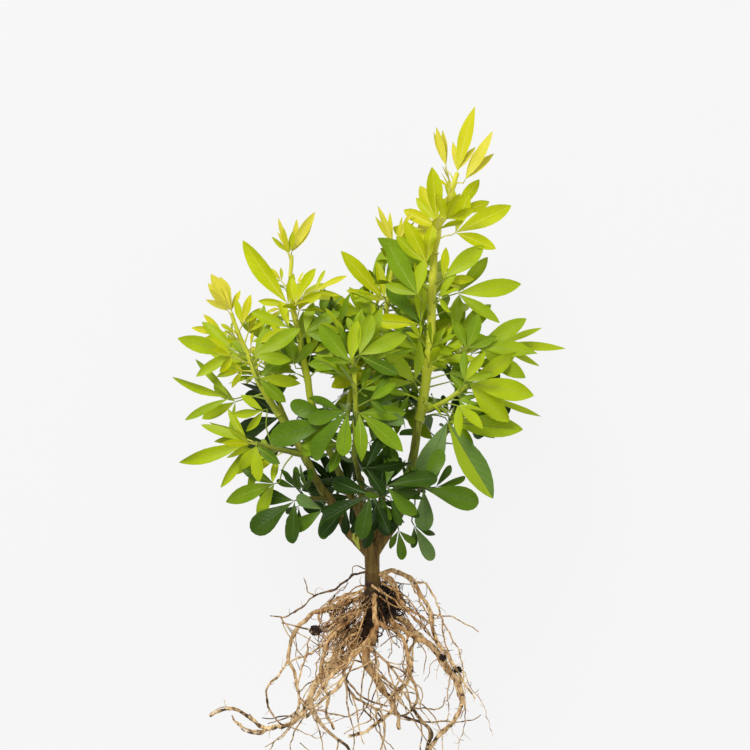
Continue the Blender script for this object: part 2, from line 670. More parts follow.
def leaf_shell(leaf: Leaf, grow: float = 0.0, free_of: float = 0.0) -> Shell:
    """The coarse closed skin over one leaf's three blades and stalk.

    Args:
        leaf: The leaf.
        grow: What the skin is thickened by, all over.
        free_of: The share of the stalk, from its foot, that is left out.

    Returns:
        Its points and faces.
    """
    hub, normal = leaf.hub, leaf.normal
    thick = BLADE_THICKNESS / 2 + grow
    verts = [hub + normal * thick, hub - normal * thick]
    half = leaf.spread / 2
    for angle in (-(90 + half), -half, half, 90 + half):
        spin = Matrix.Rotation(math.radians(angle), 3, normal)
        verts.append(hub + spin @ leaf.forward * (HUB_RADIUS + grow))
    faces = []
    outline = SHAPING_RIM if leaf.shaping else PLAIN_RIM
    for number, (direction, length) in enumerate(blade_axes(leaf)):
        right, left = 2 + number, 3 + number
        across = normal.cross(direction).normalized()
        face = direction.cross(across)
        lift = face * BLADE_FOLD
        widest = NARROWEST * math.tan(math.radians(half * BLADE_SHARE))
        half_width = length * min(leaf.width, widest) / 2
        start = len(verts)
        rim = []
        for along, share in outline:
            reach = half_width * share + grow
            rim.append(hub + direction * (length * along) + (lift - across) * reach)
        rim.append(hub + direction * (length + grow))
        for along, share in reversed(outline):
            reach = half_width * share + grow
            rim.append(hub + direction * (length * along) + (lift + across) * reach)
        rib = hub + direction * (length * RIB_AT)
        verts += rim + [rib + face * thick, rib - face * thick]
        top, bottom = start + len(rim), start + len(rim) + 1
        loop = [right, *range(start, start + len(rim)), left]
        for one, two in zip([0] + loop, loop + [0]):
            faces.append((top, one, two))
        for one, two in zip([1] + loop, loop + [1]):
            faces.append((bottom, two, one))
    add_stalk(leaf, verts, faces, grow, free_of)
    return verts, faces


def shortened(points: Points, share: float) -> Points:
    """A run of points without the last part of its length.

    Args:
        points: The points.
        share: The share that is left out.

    Returns:
        The points of what is kept, with a new last one.
    """
    left = sum((end - start).length for start, end in zip(points, points[1:])) * (1 - share)
    kept = [points[0]]
    for start, end in zip(points, points[1:]):
        step = (end - start).length
        if left <= step:
            return [*kept, start.lerp(end, left / step)]
        kept.append(end)
        left -= step
    return kept


def add_stalk(leaf: Leaf, verts: list, faces: list, grow: float, free_of: float) -> None:
    """Carries the leaf's skin on from its hub down the stalk to the foot.

    Args:
        leaf: The leaf.
        verts: The skin's points, added to.
        faces: The skin's faces, added to.
        grow: What the stalk is thickened by.
        free_of: The share of the stalk, from its foot, that is left out.
    """
    ring = [0, 5, 1, 2]
    radius = STALK_RADIUS + grow
    places = shortened(leaf.stalk(), free_of)
    up = leaf.normal
    for number in range(1, len(places)):
        ahead = (places[number - 1] - places[number]).normalized()
        behind = (places[number] - places[min(number + 1, len(places) - 1)]).normalized()
        direction = (ahead + behind).normalized()
        up = (up - direction * up.dot(direction)).normalized()
        left = up.cross(direction)
        start = len(verts)
        verts += [places[number] + up * radius, places[number] + left * radius]
        verts += [places[number] - up * radius, places[number] - left * radius]
        new_ring = list(range(start, start + 4))
        for turn in range(4):
            after = (turn + 1) % 4
            faces.append((ring[turn], ring[after], new_ring[after], new_ring[turn]))
        ring = new_ring
    faces.append(tuple(ring))


def crosses_itself(shell: Shell) -> bool:
    """Whether two faces of a shell that share no corner meet.

    Args:
        shell: The shell.

    Returns:
        Whether they do.
    """
    verts, faces = shell
    triangles = [(face[0], *pair) for face in faces for pair in zip(face[1:], face[2:])]
    tree = BVHTree.FromPolygons(verts, triangles)
    pairs = tree.overlap(tree)
    return any(not set(triangles[one]) & set(triangles[two]) for one, two in pairs)


class Occupied:
    """What has already been placed, so that nothing new is grown through it."""

    def __init__(self) -> None:
        """Starts with nothing placed."""
        self.items = []

    @staticmethod
    def box(shell: Shell) -> list[tuple[float, float]]:
        """A shell's lowest and highest value along each axis."""
        return [(min(values), max(values)) for values in zip(*shell[0])]

    def add(self, shell: Shell, owner: str) -> None:
        """Keeps a shell, under the name of what it belongs to."""
        self.items.append((self.box(shell), BVHTree.FromPolygons(*shell), owner))

    def touches(self, shell: Shell, besides: str = "") -> bool:
        """Whether a shell touches anything placed so far.

        Args:
            shell: The shell.
            besides: The owner of what it may touch.

        Returns:
            Whether it touches anything else.
        """
        box = self.box(shell)
        tree = None
        for other, other_tree, owner in self.items:
            apart = any(a[0] > b[1] or a[1] < b[0] for a, b in zip(box, other))
            if apart or owner == besides:
                continue
            tree = tree or BVHTree.FromPolygons(*shell)
            if tree.overlap(other_tree):
                return True
        return False


# Growth of leaves, by the plant's own rule.

def scatter(rng: random.Random, size: float) -> Vector:
    """A random vector of up to this size along each axis."""
    return Vector([rng.uniform(-size, size) for _ in range(3)])


def facing(forward: Vector, stem: Vector, rng: random.Random) -> Vector:
    """The way a leaf's upper side faces: towards the shoot's tip and towards the light.

    Args:
        forward: The way its middle blade points.
        stem: The shoot's direction.
        rng: The random draws.

    Returns:
        A unit vector square to forward.
    """
    wish = UP * LIGHT_WISH + stem * TIP_WISH
    wish += scatter(rng, WISH_SCATTER)
    normal = wish - forward * wish.dot(forward)
    return normal.normalized()


def shades_sky(leaf: Leaf) -> bool:
    """Whether a leaf would cover one of the places where the crown is open.

    Args:
        leaf: The leaf.

    Returns:
        Whether one of its blades would.
    """
    for direction, length in blade_axes(leaf):
        for share in BLADE_PLACES:
            point = leaf.hub + direction * (length * share)
            for x, y, radius in SKY_WINDOWS:
                if math.hypot(point.x - x, point.y - y) < radius + WINDOW_MARGIN:
                    return True
    return False


def fits(leaf: Leaf, mass: Mass, reach: float, occupied: Occupied) -> bool:
    """Whether a leaf stays in its mass's space, above the floor and clear of everything.

    Args:
        leaf: The leaf.
        mass: The mass that it belongs to.
        reach: How far from the mass's stem its tips may be.
        occupied: What is already placed.

    Returns:
        Whether it has room.
    """
    if leaf.hub.z < -AXIS_HEIGHT + FLOOR_MARGIN:
        return False
    if not leaf.shaping and shades_sky(leaf):
        return False
    for direction, length in blade_axes(leaf):
        tip = leaf.hub + direction * length
        foot = mass.tube.at(mass.tube.nearest(tip))[0]
        if (tip - foot).length > reach:
            return False
    stalk = leaf.hub - leaf.foot
    slant = max(stalk.normalized().cross(leaf.along).length, LEAST_SLANT)
    free_of = min(MOST_FREE, (leaf.stem_radius + STALK_MARGIN) / (slant * stalk.length))
    if crosses_itself(leaf_shell(leaf)) or occupied.touches(leaf_shell(leaf, CLEARANCE), mass.name):
        return False
    return not occupied.touches(leaf_shell(leaf, CLEARANCE, free_of))


def shaping_leaf(row: Hub, mass: Mass, rng: random.Random) -> Leaf:
    """One of the leaves that set the outline, from its row of sizes.

    Args:
        row: Its sizes.
        mass: The mass that it belongs to.
        rng: The mass's own random draws.

    Returns:
        The leaf.
    """
    hub = Vector((row.x, row.y, row.z))
    tube = mass.tube
    index = tube.nearest(hub)
    away = (tube.at(index)[0] - hub).length
    foot, along, radius = tube.at(max(tube.back_from(index, OUTLINE_FOOT * away), FIRST_FOOT))
    angle, tilt = math.radians(row.heading), math.radians(row.rise)
    flat = math.cos(tilt)
    forward = Vector((math.cos(angle) * flat, math.sin(angle) * flat, math.sin(tilt)))
    wish = UP + along * OUTLINE_TIP_WISH + scatter(rng, OUTLINE_SCATTER)
    normal = (wish - forward * wish.dot(forward)).normalized()
    young = row.spread < YOUNG_SPREAD
    width = BLADE_WIDTH * (YOUNG_WIDTH if young else 1.0)
    age = OUTLINE_AGES[0 if young else 1]
    return Leaf(foot, along, radius, hub, forward, normal, row.length, row.spread, width,
                row.side, True, age)


def pair_places(tube: Tube) -> list[tuple[float, float]]:
    """(Distance from the tip, age from 0 to 1) of each pair of leaves along a shoot.

    Args:
        tube: The shoot.

    Returns:
        The pairs, from the tip down.
    """
    total = tube.length()
    distance = FIRST_PAIR
    places = []
    while distance < total - FOOT_MARGIN:
        age = min(1.0, distance / OLD_AT)
        places.append((distance, age))
        distance += PAIR_STEP_YOUNG + (PAIR_STEP_OLD - PAIR_STEP_YOUNG) * age
    return places


def rule_leaf(mass: Mass, distance: float, age: float, turn: float, rng: random.Random) -> Leaf:
    """One leaf of a pair, by the plant's own rule.

    Args:
        mass: The mass that it belongs to.
        distance: How far its foot is from the shoot's tip.
        age: From 0, just open, to 1, fully grown.
        turn: The way that it leaves the shoot, in degrees round it.
        rng: The mass's own random draws.

    Returns:
        The leaf.
    """
    tube = mass.tube
    foot, along, radius = tube.at(tube.back_from(len(tube.points) - 1.0, distance))
    side = square_to(along)
    azimuth = math.radians(turn + rng.uniform(-AZIMUTH_SPREAD, AZIMUTH_SPREAD))
    outward = Matrix.Rotation(azimuth, 3, along) @ side
    lean = LEAN_YOUNG + (LEAN_OLD - LEAN_YOUNG) * age + rng.uniform(-LEAN_JITTER, LEAN_JITTER)
    lean = math.radians(lean)
    direction = along * math.cos(lean) + outward * math.sin(lean)
    stalk = (STALK_YOUNG + (STALK_OLD - STALK_YOUNG) * age) * rng.uniform(*STALK_RANGE)
    direction = above_floor(foot, direction, stalk + FLOOR_MARGIN)
    hub = foot + direction * stalk
    hub.z = max(hub.z, -AXIS_HEIGHT + FLOOR_MARGIN)
    further = lean + math.radians(rng.uniform(0, TURN_OUT))
    forward = along * math.cos(further) + outward * math.sin(further)
    normal = facing(forward, along, rng)
    young, old = mass.leaf
    length = (young + (old - young) * age) * rng.uniform(*LENGTH_RANGE)
    spread = SPREAD_YOUNG + (SPREAD_OLD - SPREAD_YOUNG) * age
    width = BLADE_WIDTH * (YOUNG_WIDTH + (1 - YOUNG_WIDTH) * age)
    return Leaf(foot, along, radius, hub, forward, normal, length, spread, width, age=age)


def place_leaf(draw: Callable[[], Leaf], mass: Mass, reach: float, occupied: Occupied) -> None:
    """Tries a few leaves, and keeps the first that has room.

    Args:
        draw: Draws a new leaf.
        mass: The mass that it belongs to.
        reach: How far from the mass's stem its tips may be.
        occupied: What is already placed.
    """
    for _ in range(LEAF_TRIES):
        leaf = draw()
        if fits(leaf, mass, reach, occupied):
            mass.leaves.append(leaf)
            occupied.add(leaf_shell(leaf), mass.name)
            return


def grow_leaves(occupied: Occupied) -> None:
    """Places the outline's leaves first, then pairs along every shoot wherever they have room.

    Args:
        occupied: What is already placed, added to.
    """
    rngs = [random.Random(mass.seed) for mass in MASSES]
    for mass, rng in zip(MASSES, rngs):
        for row in mass.hubs:
            place_leaf(lambda: shaping_leaf(row, mass, rng), mass, SHAPING_REACH, occupied)
    for mass, rng in zip(MASSES, rngs):
        for number, (distance, age) in enumerate(pair_places(mass.tube) if mass.fill else ()):
            for side in (0, 180):
                turn = LEAF_PHASE + 90 * number + side
                place_leaf(lambda: rule_leaf(mass, distance, age, turn, rng), mass, LEAF_REACH,
                           occupied)


# Growth of rootlets.

def round_windows(point: Vector) -> Vector:
    """A point moved sideways to the rim of the window that it lies in, if any.

    Args:
        point: The point.

    Returns:
        The point itself, or the moved one.
    """
    for across, up, radius in ROOT_WINDOWS:
        offset = Vector((point.x - across, point.y - up, 0))
        if 0 < offset.length < radius:
            return point + offset * (radius / offset.length - 1)
    return point


def rootlet_tube(mass: Mass, rng: random.Random) -> Tube:
    """One thin root that wanders off from its mass's stem and down towards the tips.

    Args:
        mass: The mass that it belongs to.
        rng: The random draws.

    Returns:
        Its tube, which stays within the spread of the root ball.
    """
    index = rng.uniform(ROOTLET_FIRST, len(mass.tube.points) - 1)
    foot, along, radius = mass.tube.at(index)
    heading = (along * ROOTLET_AHEAD + scatter(rng, 1) + ROOTLET_PULL).normalized()
    swerve = scatter(rng, 1) * ROOTLET_SWERVE
    points = [foot]
    for _ in range(rng.randint(*ROOTLET_STEPS)):
        wander = scatter(rng, 1) * ROOTLET_WANDER
        heading = (heading + swerve + wander + ROOTLET_PULL * ROOTLET_STEER).normalized()
        following = round_windows(points[-1] + heading * ROOTLET_STEP)
        following.z = max(following.z, -AXIS_HEIGHT + ROOT_FLOOR)
        inside = ROOT_LEFT < following.x < ROOT_RIGHT and ROOT_FOOT < following.y < ROOT_TOP
        if not inside:
            break
        points.append(following)
    first = min(ROOTLET_RADIUS[0], radius * ROOTLET_SHARE)
    return Tube(points, taper(points, first, ROOTLET_RADIUS[1]), ROOTLET_SIDES)


def grow_rootlets(mass: Mass, occupied: Occupied) -> None:
    """Adds as many rootlets as have room, out of a set number of tries.

    Args:
        mass: The mass.
        occupied: What is already placed, added to.
    """
    rng = random.Random(mass.seed)
    for _ in range(mass.tries):
        tube = rootlet_tube(mass, rng)
        if len(tube.points) < LEAST_POINTS:
            continue
        first = tube.points[0].lerp(tube.points[1], ROOTLET_FREE)
        free = Tube([first, *tube.points[1:]], tube.radii, tube.sides)
        if occupied.touches(tube_shell(tube, CLEARANCE), mass.name):
            continue
        if not occupied.touches(tube_shell(free, CLEARANCE)):
            mass.rootlets.append(tube)
            occupied.add(tube_shell(tube), mass.name)


def plan_plant() -> dict[str, Limb]:
    """Works out every limb and mass of the plant.

    Returns:
        They, by name, with their tubes and stubs.
    """
    trunk = Limb("trunk", "", TRUNK_ROUTE, TRUNK_RADII)
    trunk.tube = Tube([Vector(point) for point in TRUNK_ROUTE], list(TRUNK_RADII), TRUNK_SIDES)
    plant = {"trunk": trunk}
    for root in ROOTS:
        root.sides = ROOT_SIDES
    for first, masses in ((FOLIAGE_SEED, MASSES), (ROOTLET_SEED, ROOT_MASSES)):
        for seed, mass in enumerate(masses, first):
            mass.seed = seed
    for piece in (*BOUGHS, *ROOTS, *MASSES, *ROOT_MASSES):
        attach(piece, plant[piece.parent])
        plant[piece.name] = piece
    return plant


# Finishes.

Socket = bpy.types.NodeSocket
BLACK = (0, 0, 0, 1)
WHITE = (1, 1, 1, 1)


def linear(red: int, green: int, blue: int) -> tuple[float, float, float, float]:
    """A colour as a shader's socket takes it, from its everyday values of 0 to 255.

    Args:
        red: The red value.
        green: The green value.
        blue: The blue value.

    Returns:
        The colour, with an alpha of 1.
    """
    channels = []
    for value in (red, green, blue):
        share = value / 255
        channels.append(share / 12.92 if share <= 0.04045 else ((share + 0.055) / 1.055) ** 2.4)
    return (*channels, 1.0)


class Nodes:
    """A short way to add and link the nodes of one material."""

    def __init__(self, name: str) -> None:
        """Starts a material with a plain shader.

        Args:
            name: The material's name.
        """
        self.made = bpy.data.materials.new(name)
        self.made.use_nodes = True
        self.tree = self.made.node_tree
        self.shader = self.tree.nodes["Principled BSDF"]
        self.coords = self.add("ShaderNodeTexCoord", {})

    def add(self, kind: str, inputs: dict, **properties: object) -> bpy.types.Node:
        """Adds a node.

        Args:
            kind: Its type.
            inputs: The socket, number or colour that each of its inputs takes.
            properties: Its own properties.

        Returns:
            The node.
        """
        node = self.tree.nodes.new(kind)
        for key, value in properties.items():
            setattr(node, key, value)
        for key, value in inputs.items():
            if isinstance(value, Socket):
                self.tree.links.new(value, node.inputs[key])
            else:
                node.inputs[key].default_value = value
        return node

    def sum(self, kind: str, *values: object) -> Socket:
        """A sum on sockets or numbers, by the name that the Math node has for it."""
        return self.add("ShaderNodeMath", dict(enumerate(values)), operation=kind).outputs[0]

    def times(self, first: object, second: object) -> Socket:
        """Two values, multiplied."""
        return self.sum("MULTIPLY", first, second)

    def axis(self, space: str, number: int) -> Socket:
        """One coordinate of a point, in the object's space or on its UV map."""
        return self.add("ShaderNodeSeparateXYZ", {0: self.coords.outputs[space]}).outputs[number]

    def spots(self, scale: float, detail: float = 3.0, stretch: tuple = (1, 1, 1)) -> Socket:
        """Soft spots in the object's own space, from 0 to 1.

        Args:
            scale: How fine they are.
            detail: How many finer layers they have.
            stretch: What each axis is multiplied by first.

        Returns:
            Their value.
        """
        place = {"Vector": self.coords.outputs["Object"], "Scale": stretch}
        place = self.add("ShaderNodeMapping", place).outputs[0]
        inputs = {"Vector": place, "Scale": scale, "Detail": detail}
        return self.add("ShaderNodeTexNoise", inputs).outputs["Fac"]

    def wobble(self, scale: float, size: float) -> Socket:
        """Soft spots of a size over all, around 0."""
        return self.times(self.sum("SUBTRACT", self.spots(scale), 0.5), size)

    def ramp(self, source: Socket, *stops: tuple) -> Socket:
        """A colour ramp over a value.

        Args:
            source: The value.
            stops: Each stop's place, from 0 to 1, and its colour.

        Returns:
            The colour.
        """
        node = self.add("ShaderNodeValToRGB", {0: source})
        elements = node.color_ramp.elements
        while len(elements) < len(stops):
            elements.new(0.5)
        for element, (place, colour) in zip(elements, stops):
            element.position = place
            element.color = colour
        return node.outputs[0]

    def step(self, source: Socket, low: float, high: float) -> Socket:
        """0 where a value is low, and 1 where it is high."""
        return self.ramp(source, (low, BLACK), (high, WHITE))

    def mix(self, share: object, first: object, second: object, blend: str = "MIX") -> Socket:
        """Two colours mixed by a share, in one of the Mix node's ways."""
        inputs = {0: share, 6: first, 7: second}
        return self.add("ShaderNodeMix", inputs, data_type="RGBA", blend_type=blend).outputs[2]

    def finish(self, colour: Socket, roughness: float, specular: float) -> bpy.types.Material:
        """Gives the shader its base colour and its gloss.

        Args:
            colour: The base colour.
            roughness: The roughness, the same all over.
            specular: The strength of the reflections, the same all over.

        Returns:
            The material.
        """
        self.tree.links.new(colour, self.shader.inputs["Base Color"])
        self.shader.inputs["Roughness"].default_value = roughness
        self.shader.inputs["Specular IOR Level"].default_value = specular
        return self.made

    def bump(self, height: Socket, distance: float) -> None:
        """Gives the shader's normal a bump of a height in metres."""
        node = self.add("ShaderNodeBump", {"Height": height, "Distance": distance, "Strength": 1.0})
        self.tree.links.new(node.outputs[0], self.shader.inputs["Normal"])


@dataclass(frozen=True)
class LeafFinish:
    """A leaf's skin: one main colour, mottled a little, with fine side veins and a soft gloss."""

    name: str
    main: tuple
    deep: tuple
    vein: tuple
    roughness: float = 0.42
    right_half: tuple = ()
    veins: float = 9.0
    slant: float = 0.42
    sharpness: float = 5.0
    mottling: float = 0.55
    pale_base: float = 0.22
    pale_veins: float = 0.16
    relief: float = 0.00009

    def material(self) -> bpy.types.Material:
        """The finish as a material.

        Returns:
            The material.
        """
        nodes = Nodes(self.name)
        along, across = nodes.axis("UV", 0), nodes.axis("UV", 1)
        aside = nodes.sum("ABSOLUTE", nodes.sum("SUBTRACT", across, 0.5))
        slanted = nodes.sum("SUBTRACT", along, nodes.times(aside, self.slant))
        wave = nodes.sum("SINE", nodes.times(slanted, math.tau * self.veins))
        veins = nodes.times(nodes.sum("ADD", wave, 1.0), 0.5)
        veins = nodes.sum("POWER", veins, self.sharpness)
        veins = nodes.times(veins, nodes.sum("SUBTRACT", 1.0, nodes.times(aside, 1.6)))
        mottle = nodes.times(nodes.step(nodes.spots(70.0), 0.35, 0.68), self.mottling)
        skin = nodes.mix(mottle, linear(*self.main), linear(*self.deep))
        base = nodes.ramp(along, (0.0, WHITE), (0.45, BLACK))
        skin = nodes.mix(nodes.times(base, self.pale_base), skin, linear(*self.vein))
        skin = nodes.mix(nodes.times(veins, self.pale_veins), skin, linear(*self.vein))
        if self.right_half:
            skin = nodes.mix(nodes.step(across, 0.49, 0.51), linear(*self.right_half), skin)
        grain = nodes.times(nodes.spots(900.0, 2.0), 0.25)
        nodes.bump(nodes.sum("ADD", veins, grain), self.relief)
        return nodes.finish(skin, self.roughness, 0.12)


@dataclass(frozen=True)
class StemFinish:
    """A shoot's skin: yellow-green at the tips and olive towards the foot."""

    name: str = "shoot_skin"
    foot: float = -0.05
    length: float = 0.30
    relief: float = 0.0003

    def material(self) -> bpy.types.Material:
        """The finish as a material.

        Returns:
            The material.
        """
        nodes = Nodes(self.name)
        height = nodes.sum("SUBTRACT", nodes.axis("Object", 1), self.foot)
        height = nodes.sum("ADD", nodes.sum("DIVIDE", height, self.length), nodes.wobble(40.0, 0.18))
        skin = nodes.ramp(height, (0.0, linear(100, 98, 36)), (0.14, linear(136, 148, 38)),
                          (0.34, linear(190, 198, 44)), (1.0, linear(228, 222, 64)))
        streaks = nodes.spots(260.0, 4.0, (1, 0.12, 1))
        dark = nodes.ramp(streaks, (0.40, (0.55, 0.55, 0.55, 1)), (0.62, WHITE))
        nodes.bump(streaks, self.relief)
        return nodes.finish(nodes.mix(0.22, skin, dark, "MULTIPLY"), 0.5, 0.3)


@dataclass(frozen=True)
class BarkFinish:
    """Young bark: olive-brown, with dark fissures along the limb and pale pores."""

    name: str = "young_bark"
    foot: float = -0.17
    length: float = 0.19
    relief: float = 0.0009

    def material(self) -> bpy.types.Material:
        """The finish as a material.

        Returns:
            The material.
        """
        nodes = Nodes(self.name)
        height = nodes.sum("SUBTRACT", nodes.axis("Object", 1), self.foot)
        height = nodes.sum("ADD", nodes.sum("DIVIDE", height, self.length), nodes.wobble(55.0, 0.3))
        skin = nodes.ramp(height, (0.15, linear(52, 34, 18)), (0.24, linear(122, 96, 44)),
                          (0.5, linear(116, 94, 40)), (0.72, linear(122, 128, 40)),
                          (1.0, linear(150, 162, 44)))
        fissures = nodes.spots(240.0, 6.0, (1, 0.16, 1))
        dark = nodes.ramp(fissures, (0.36, (0.34, 0.26, 0.18, 1)), (0.54, WHITE))
        pores = nodes.times(nodes.step(nodes.spots(520.0, 1.0), 0.66, 0.72), 0.45)
        skin = nodes.mix(pores, nodes.mix(0.8, skin, dark, "MULTIPLY"), linear(168, 150, 104))
        nodes.bump(fissures, self.relief)
        return nodes.finish(skin, 0.78, 0.3)


@dataclass(frozen=True)
class RootFinish:
    """A root's skin: dark with soil near the stock and tan away from it, streaked and stained.

    near, main and pale are its colours from the stock outwards. Soil stains it wherever a noise is
    above stain.
    """

    name: str
    near: tuple
    main: tuple
    pale: tuple
    stain: float = 0.56
    reach: float = 0.085
    stock: tuple = (-0.0035, 0.168, -AXIS_HEIGHT * MM)
    relief: float = 0.0006

    def material(self) -> bpy.types.Material:
        """The finish as a material.

        Returns:
            The material.
        """
        nodes = Nodes(self.name)
        place = {"Vector": nodes.coords.outputs["Object"], "Location": self.stock}
        place = nodes.add("ShaderNodeMapping", place).outputs[0]
        length = nodes.add("ShaderNodeVectorMath", {0: place}, operation="LENGTH").outputs["Value"]
        away = nodes.sum("ADD", nodes.sum("DIVIDE", length, self.reach), nodes.wobble(60.0, 0.9))
        skin = nodes.ramp(away, (0.05, linear(*self.near)), (0.34, linear(*self.main)),
                          (1.0, linear(*self.pale)))
        warm = nodes.times(nodes.step(nodes.spots(75.0, 4.0), 0.44, 0.62), 0.55)
        skin = nodes.mix(warm, skin, linear(150, 102, 56))
        streaks = nodes.spots(330.0, 5.0, (1, 0.3, 1))
        dark = nodes.ramp(streaks, (0.38, (0.40, 0.30, 0.22, 1)), (0.54, WHITE))
        skin = nodes.mix(0.8, skin, dark, "MULTIPLY")
        low = nodes.step(nodes.times(nodes.axis("Object", 1), -4.0), 0.88, 1.0)
        soil = nodes.sum("ADD", nodes.spots(170.0, 5.0), nodes.times(low, 0.06))
        soil = nodes.times(nodes.step(soil, self.stain, self.stain + 0.10), 0.90)
        nodes.bump(streaks, self.relief)
        return nodes.finish(nodes.mix(soil, skin, linear(50, 31, 17)), 0.85, 0.25)


class Tone(Enum):
    """The leaves' colours, from the youngest to the oldest and most shaded."""

    YELLOW = LeafFinish("leaf_yellow", (219, 210, 66), (208, 202, 50), (230, 223, 114), 0.46)
    LEMON = LeafFinish("leaf_lemon", (208, 204, 30), (194, 195, 18), (224, 220, 88), 0.44)
    LIME = LeafFinish("leaf_lime", (188, 196, 8), (168, 182, 4), (212, 214, 66), 0.42)
    LIGHT = LeafFinish("leaf_light", (167, 185, 18), (148, 171, 12), (196, 207, 68), 0.40)
    GREEN = LeafFinish("leaf_green", (148, 171, 22), (126, 155, 14), (180, 196, 68), 0.38)
    MIDDLE = LeafFinish("leaf_middle", (124, 153, 22), (102, 137, 14), (160, 181, 66), 0.36)
    DEEP = LeafFinish("leaf_deep", (90, 121, 20), (71, 104, 12), (128, 152, 58), 0.35)
    DARK = LeafFinish("leaf_dark", (59, 86, 15), (43, 68, 9), (94, 120, 48), 0.35)
    SHADE = LeafFinish("leaf_shade", (36, 60, 6), (24, 46, 3), (66, 90, 32), 0.36)
    BLUE = LeafFinish("leaf_blue", (106, 134, 68), (92, 120, 60), (146, 166, 98), 0.42)
    HALVES = LeafFinish("leaf_halves", (98, 130, 52), (84, 116, 46), (162, 178, 88), 0.40,
                        (146, 168, 30))


# The tones in order of age, without the last two, which stand apart.
AGES = tuple(Tone)[:-2]
YOUNG_TONES = AGES[:3]
GROWN_TONES = AGES[3:6]
OLD_TONES = AGES[6:]

# Leaves with tones of their own, by the place of their hub: the middle blade's, the right one's
# and, where it differs, the left one's.
LEAF_TONES = {
    (65, 143): "HALVES BLUE GREEN", (74, 368): "LEMON YELLOW", (64, 373): "YELLOW YELLOW",
    (81, 360): "YELLOW YELLOW", (-129, 242): "YELLOW YELLOW", (-119, 230): "LEMON LIME",
    (-124, 206): "LIGHT LIGHT", (-130, 164): "LIGHT GREEN", (-75, 295): "YELLOW YELLOW",
    (-80, 299): "YELLOW YELLOW", (16, 304): "YELLOW LEMON", (21, 303): "YELLOW LEMON",
    (41, 230): "DEEP LIGHT LIME", (46, 285): "LIME LIME LIGHT", (38, 256): "MIDDLE LIGHT GREEN",
    (46, 276): "MIDDLE LIGHT MIDDLE", (72, 312): "LIME LIME", (-78, 248): "LIME LIME",
    (-77, 227): "LIGHT LIME", (-62, 222): "MIDDLE MIDDLE GREEN", (-22, 196): "MIDDLE LIGHT MIDDLE",
    (-14, 202): "GREEN DEEP GREEN", (-24, 153): "DEEP DEEP MIDDLE", (-36, 144): "DEEP DEEP MIDDLE",
    (82, 208): "MIDDLE MIDDLE", (80, 179): "LIGHT GREEN MIDDLE", (-108, 202): "GREEN GREEN",
    (24, 164): "DEEP DEEP MIDDLE", (-106, 121): "LIGHT LIGHT DEEP", (-90, 87): "MIDDLE DEEP GREEN",
    (-14, 151): "MIDDLE MIDDLE", (35, 50): "BLUE DARK", (98, 166): "LIGHT GREEN GREEN",
    (43, 83): "DEEP BLUE DEEP", (-104, 182): "LIGHT MIDDLE", (-4, 78): "SHADE SHADE DARK",
    (-46, 64): "DEEP BLUE DARK",
}

# Blades that show narrower or wider, by the place of their hub: their share of the usual width.
BLADE_WIDTHS = {
    (-113, 124): 0.62, (-130, 164): 0.50, (-78, 248): 0.84, (9, 252): 0.76, (-6, 232): 0.80,
    (98, 166): 0.60, (112, 212): 0.62, (-54, 260): 0.60, (-124, 206): 0.80, (12, 224): 0.80,
    (74, 258): 0.84, (-106, 121): 1.15, (43, 83): 1.15, (-72, 72): 1.20, (-46, 64): 1.2,
    (-129, 242): 0.9, (-119, 230): 0.9, (-80, 299): 0.8, (16, 304): 0.74, (21, 303): 0.7,
    (64, 373): 0.9, (81, 360): 0.9,
}

# The youngest leaves are still half closed: this share of their blades' spread.
HALF_CLOSED = 0.5

# The seed of the noise, and the steps to a millimetre in which a hub's place seeds its own draws.
NOISE_SEED = 3
SEED_STEP = 16
SEED_ROW = 4096

FOLIAGE_NAMES = tuple(mass.name for mass in MASSES)

# Masses in the shade of the crown, whose leaves stand close.
SHADED = ("foliage_front_foot", "foliage_back_foot", "foliage_middle", "foliage_right_foot",
          "foliage_back_centre", "foliage_left_foot", "foliage_back_crown", "foliage_leader_low")


class Filling(NamedTuple):
    """How small leaves stand between a shoot's pairs.

    first is how far from its tip they start, steps the least and the most between two rounds of
    them, age what their age is raised by, and turns how those of a round leave it, in degrees.
    """

    first: float
    steps: tuple
    age: float
    turns: tuple


OPEN = Filling(22.0, (8, 13), 0.0, (0, 180))
DENSE = Filling(9.0, (6, 9), 0.3, (0, 90, 180, 270))

# The colours of the ribs and stalks of each group of leaves.
RIB_COLOURS = {
    "young": (222, 218, 84),
    "grown": (156, 174, 52),
    "old": (78, 102, 44),
}


@dataclass(frozen=True)
class PlainFinish:
    """A soft plain skin with a little mottling, for ribs, stalks and fine roots."""

    name: str
    main: tuple
    roughness: float = 0.5

    def material(self) -> bpy.types.Material:
        """The finish as a material.

        Returns:
            The material.
        """
        nodes = Nodes(self.name)
        shade = nodes.ramp(nodes.spots(60.0), (0.3, (0.82, 0.82, 0.78, 1)), (0.7, WHITE))
        skin = nodes.mix(0.7, linear(*self.main), shade, "MULTIPLY")
        return nodes.finish(skin, self.roughness, 0.5)


# Making pieces.

# Fine tubes: how closely they waver, per millimetre, and over how many points that sets in.
WAVER_SCALE = 0.055
WAVER_FADE = 4

# How much finer the ridges of a relief are than its soft part.
RIDGE_SCALE = 1.7


def to_world(points: np.ndarray) -> np.ndarray:
    """Points of the plan, in millimetres, in the part's own frame in metres."""
    return (points + np.array((-CENTRE_X, -CENTRE_Y, AXIS_HEIGHT))) * MM


def report(piece: bpy.types.Object, slot: str, nodes: tuple[str, ...] = ()) -> None:
    """Rides a finished piece on the plant and logs it.

    Args:
        piece: The piece.
        slot: The record's material slot that it takes its finish from.
        nodes: The solids that it stands for.
    """
    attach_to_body(piece, "root")
    if nodes:
        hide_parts(*nodes)
    log.info("%s: %d faces", piece.name, len(piece.data.polygons))


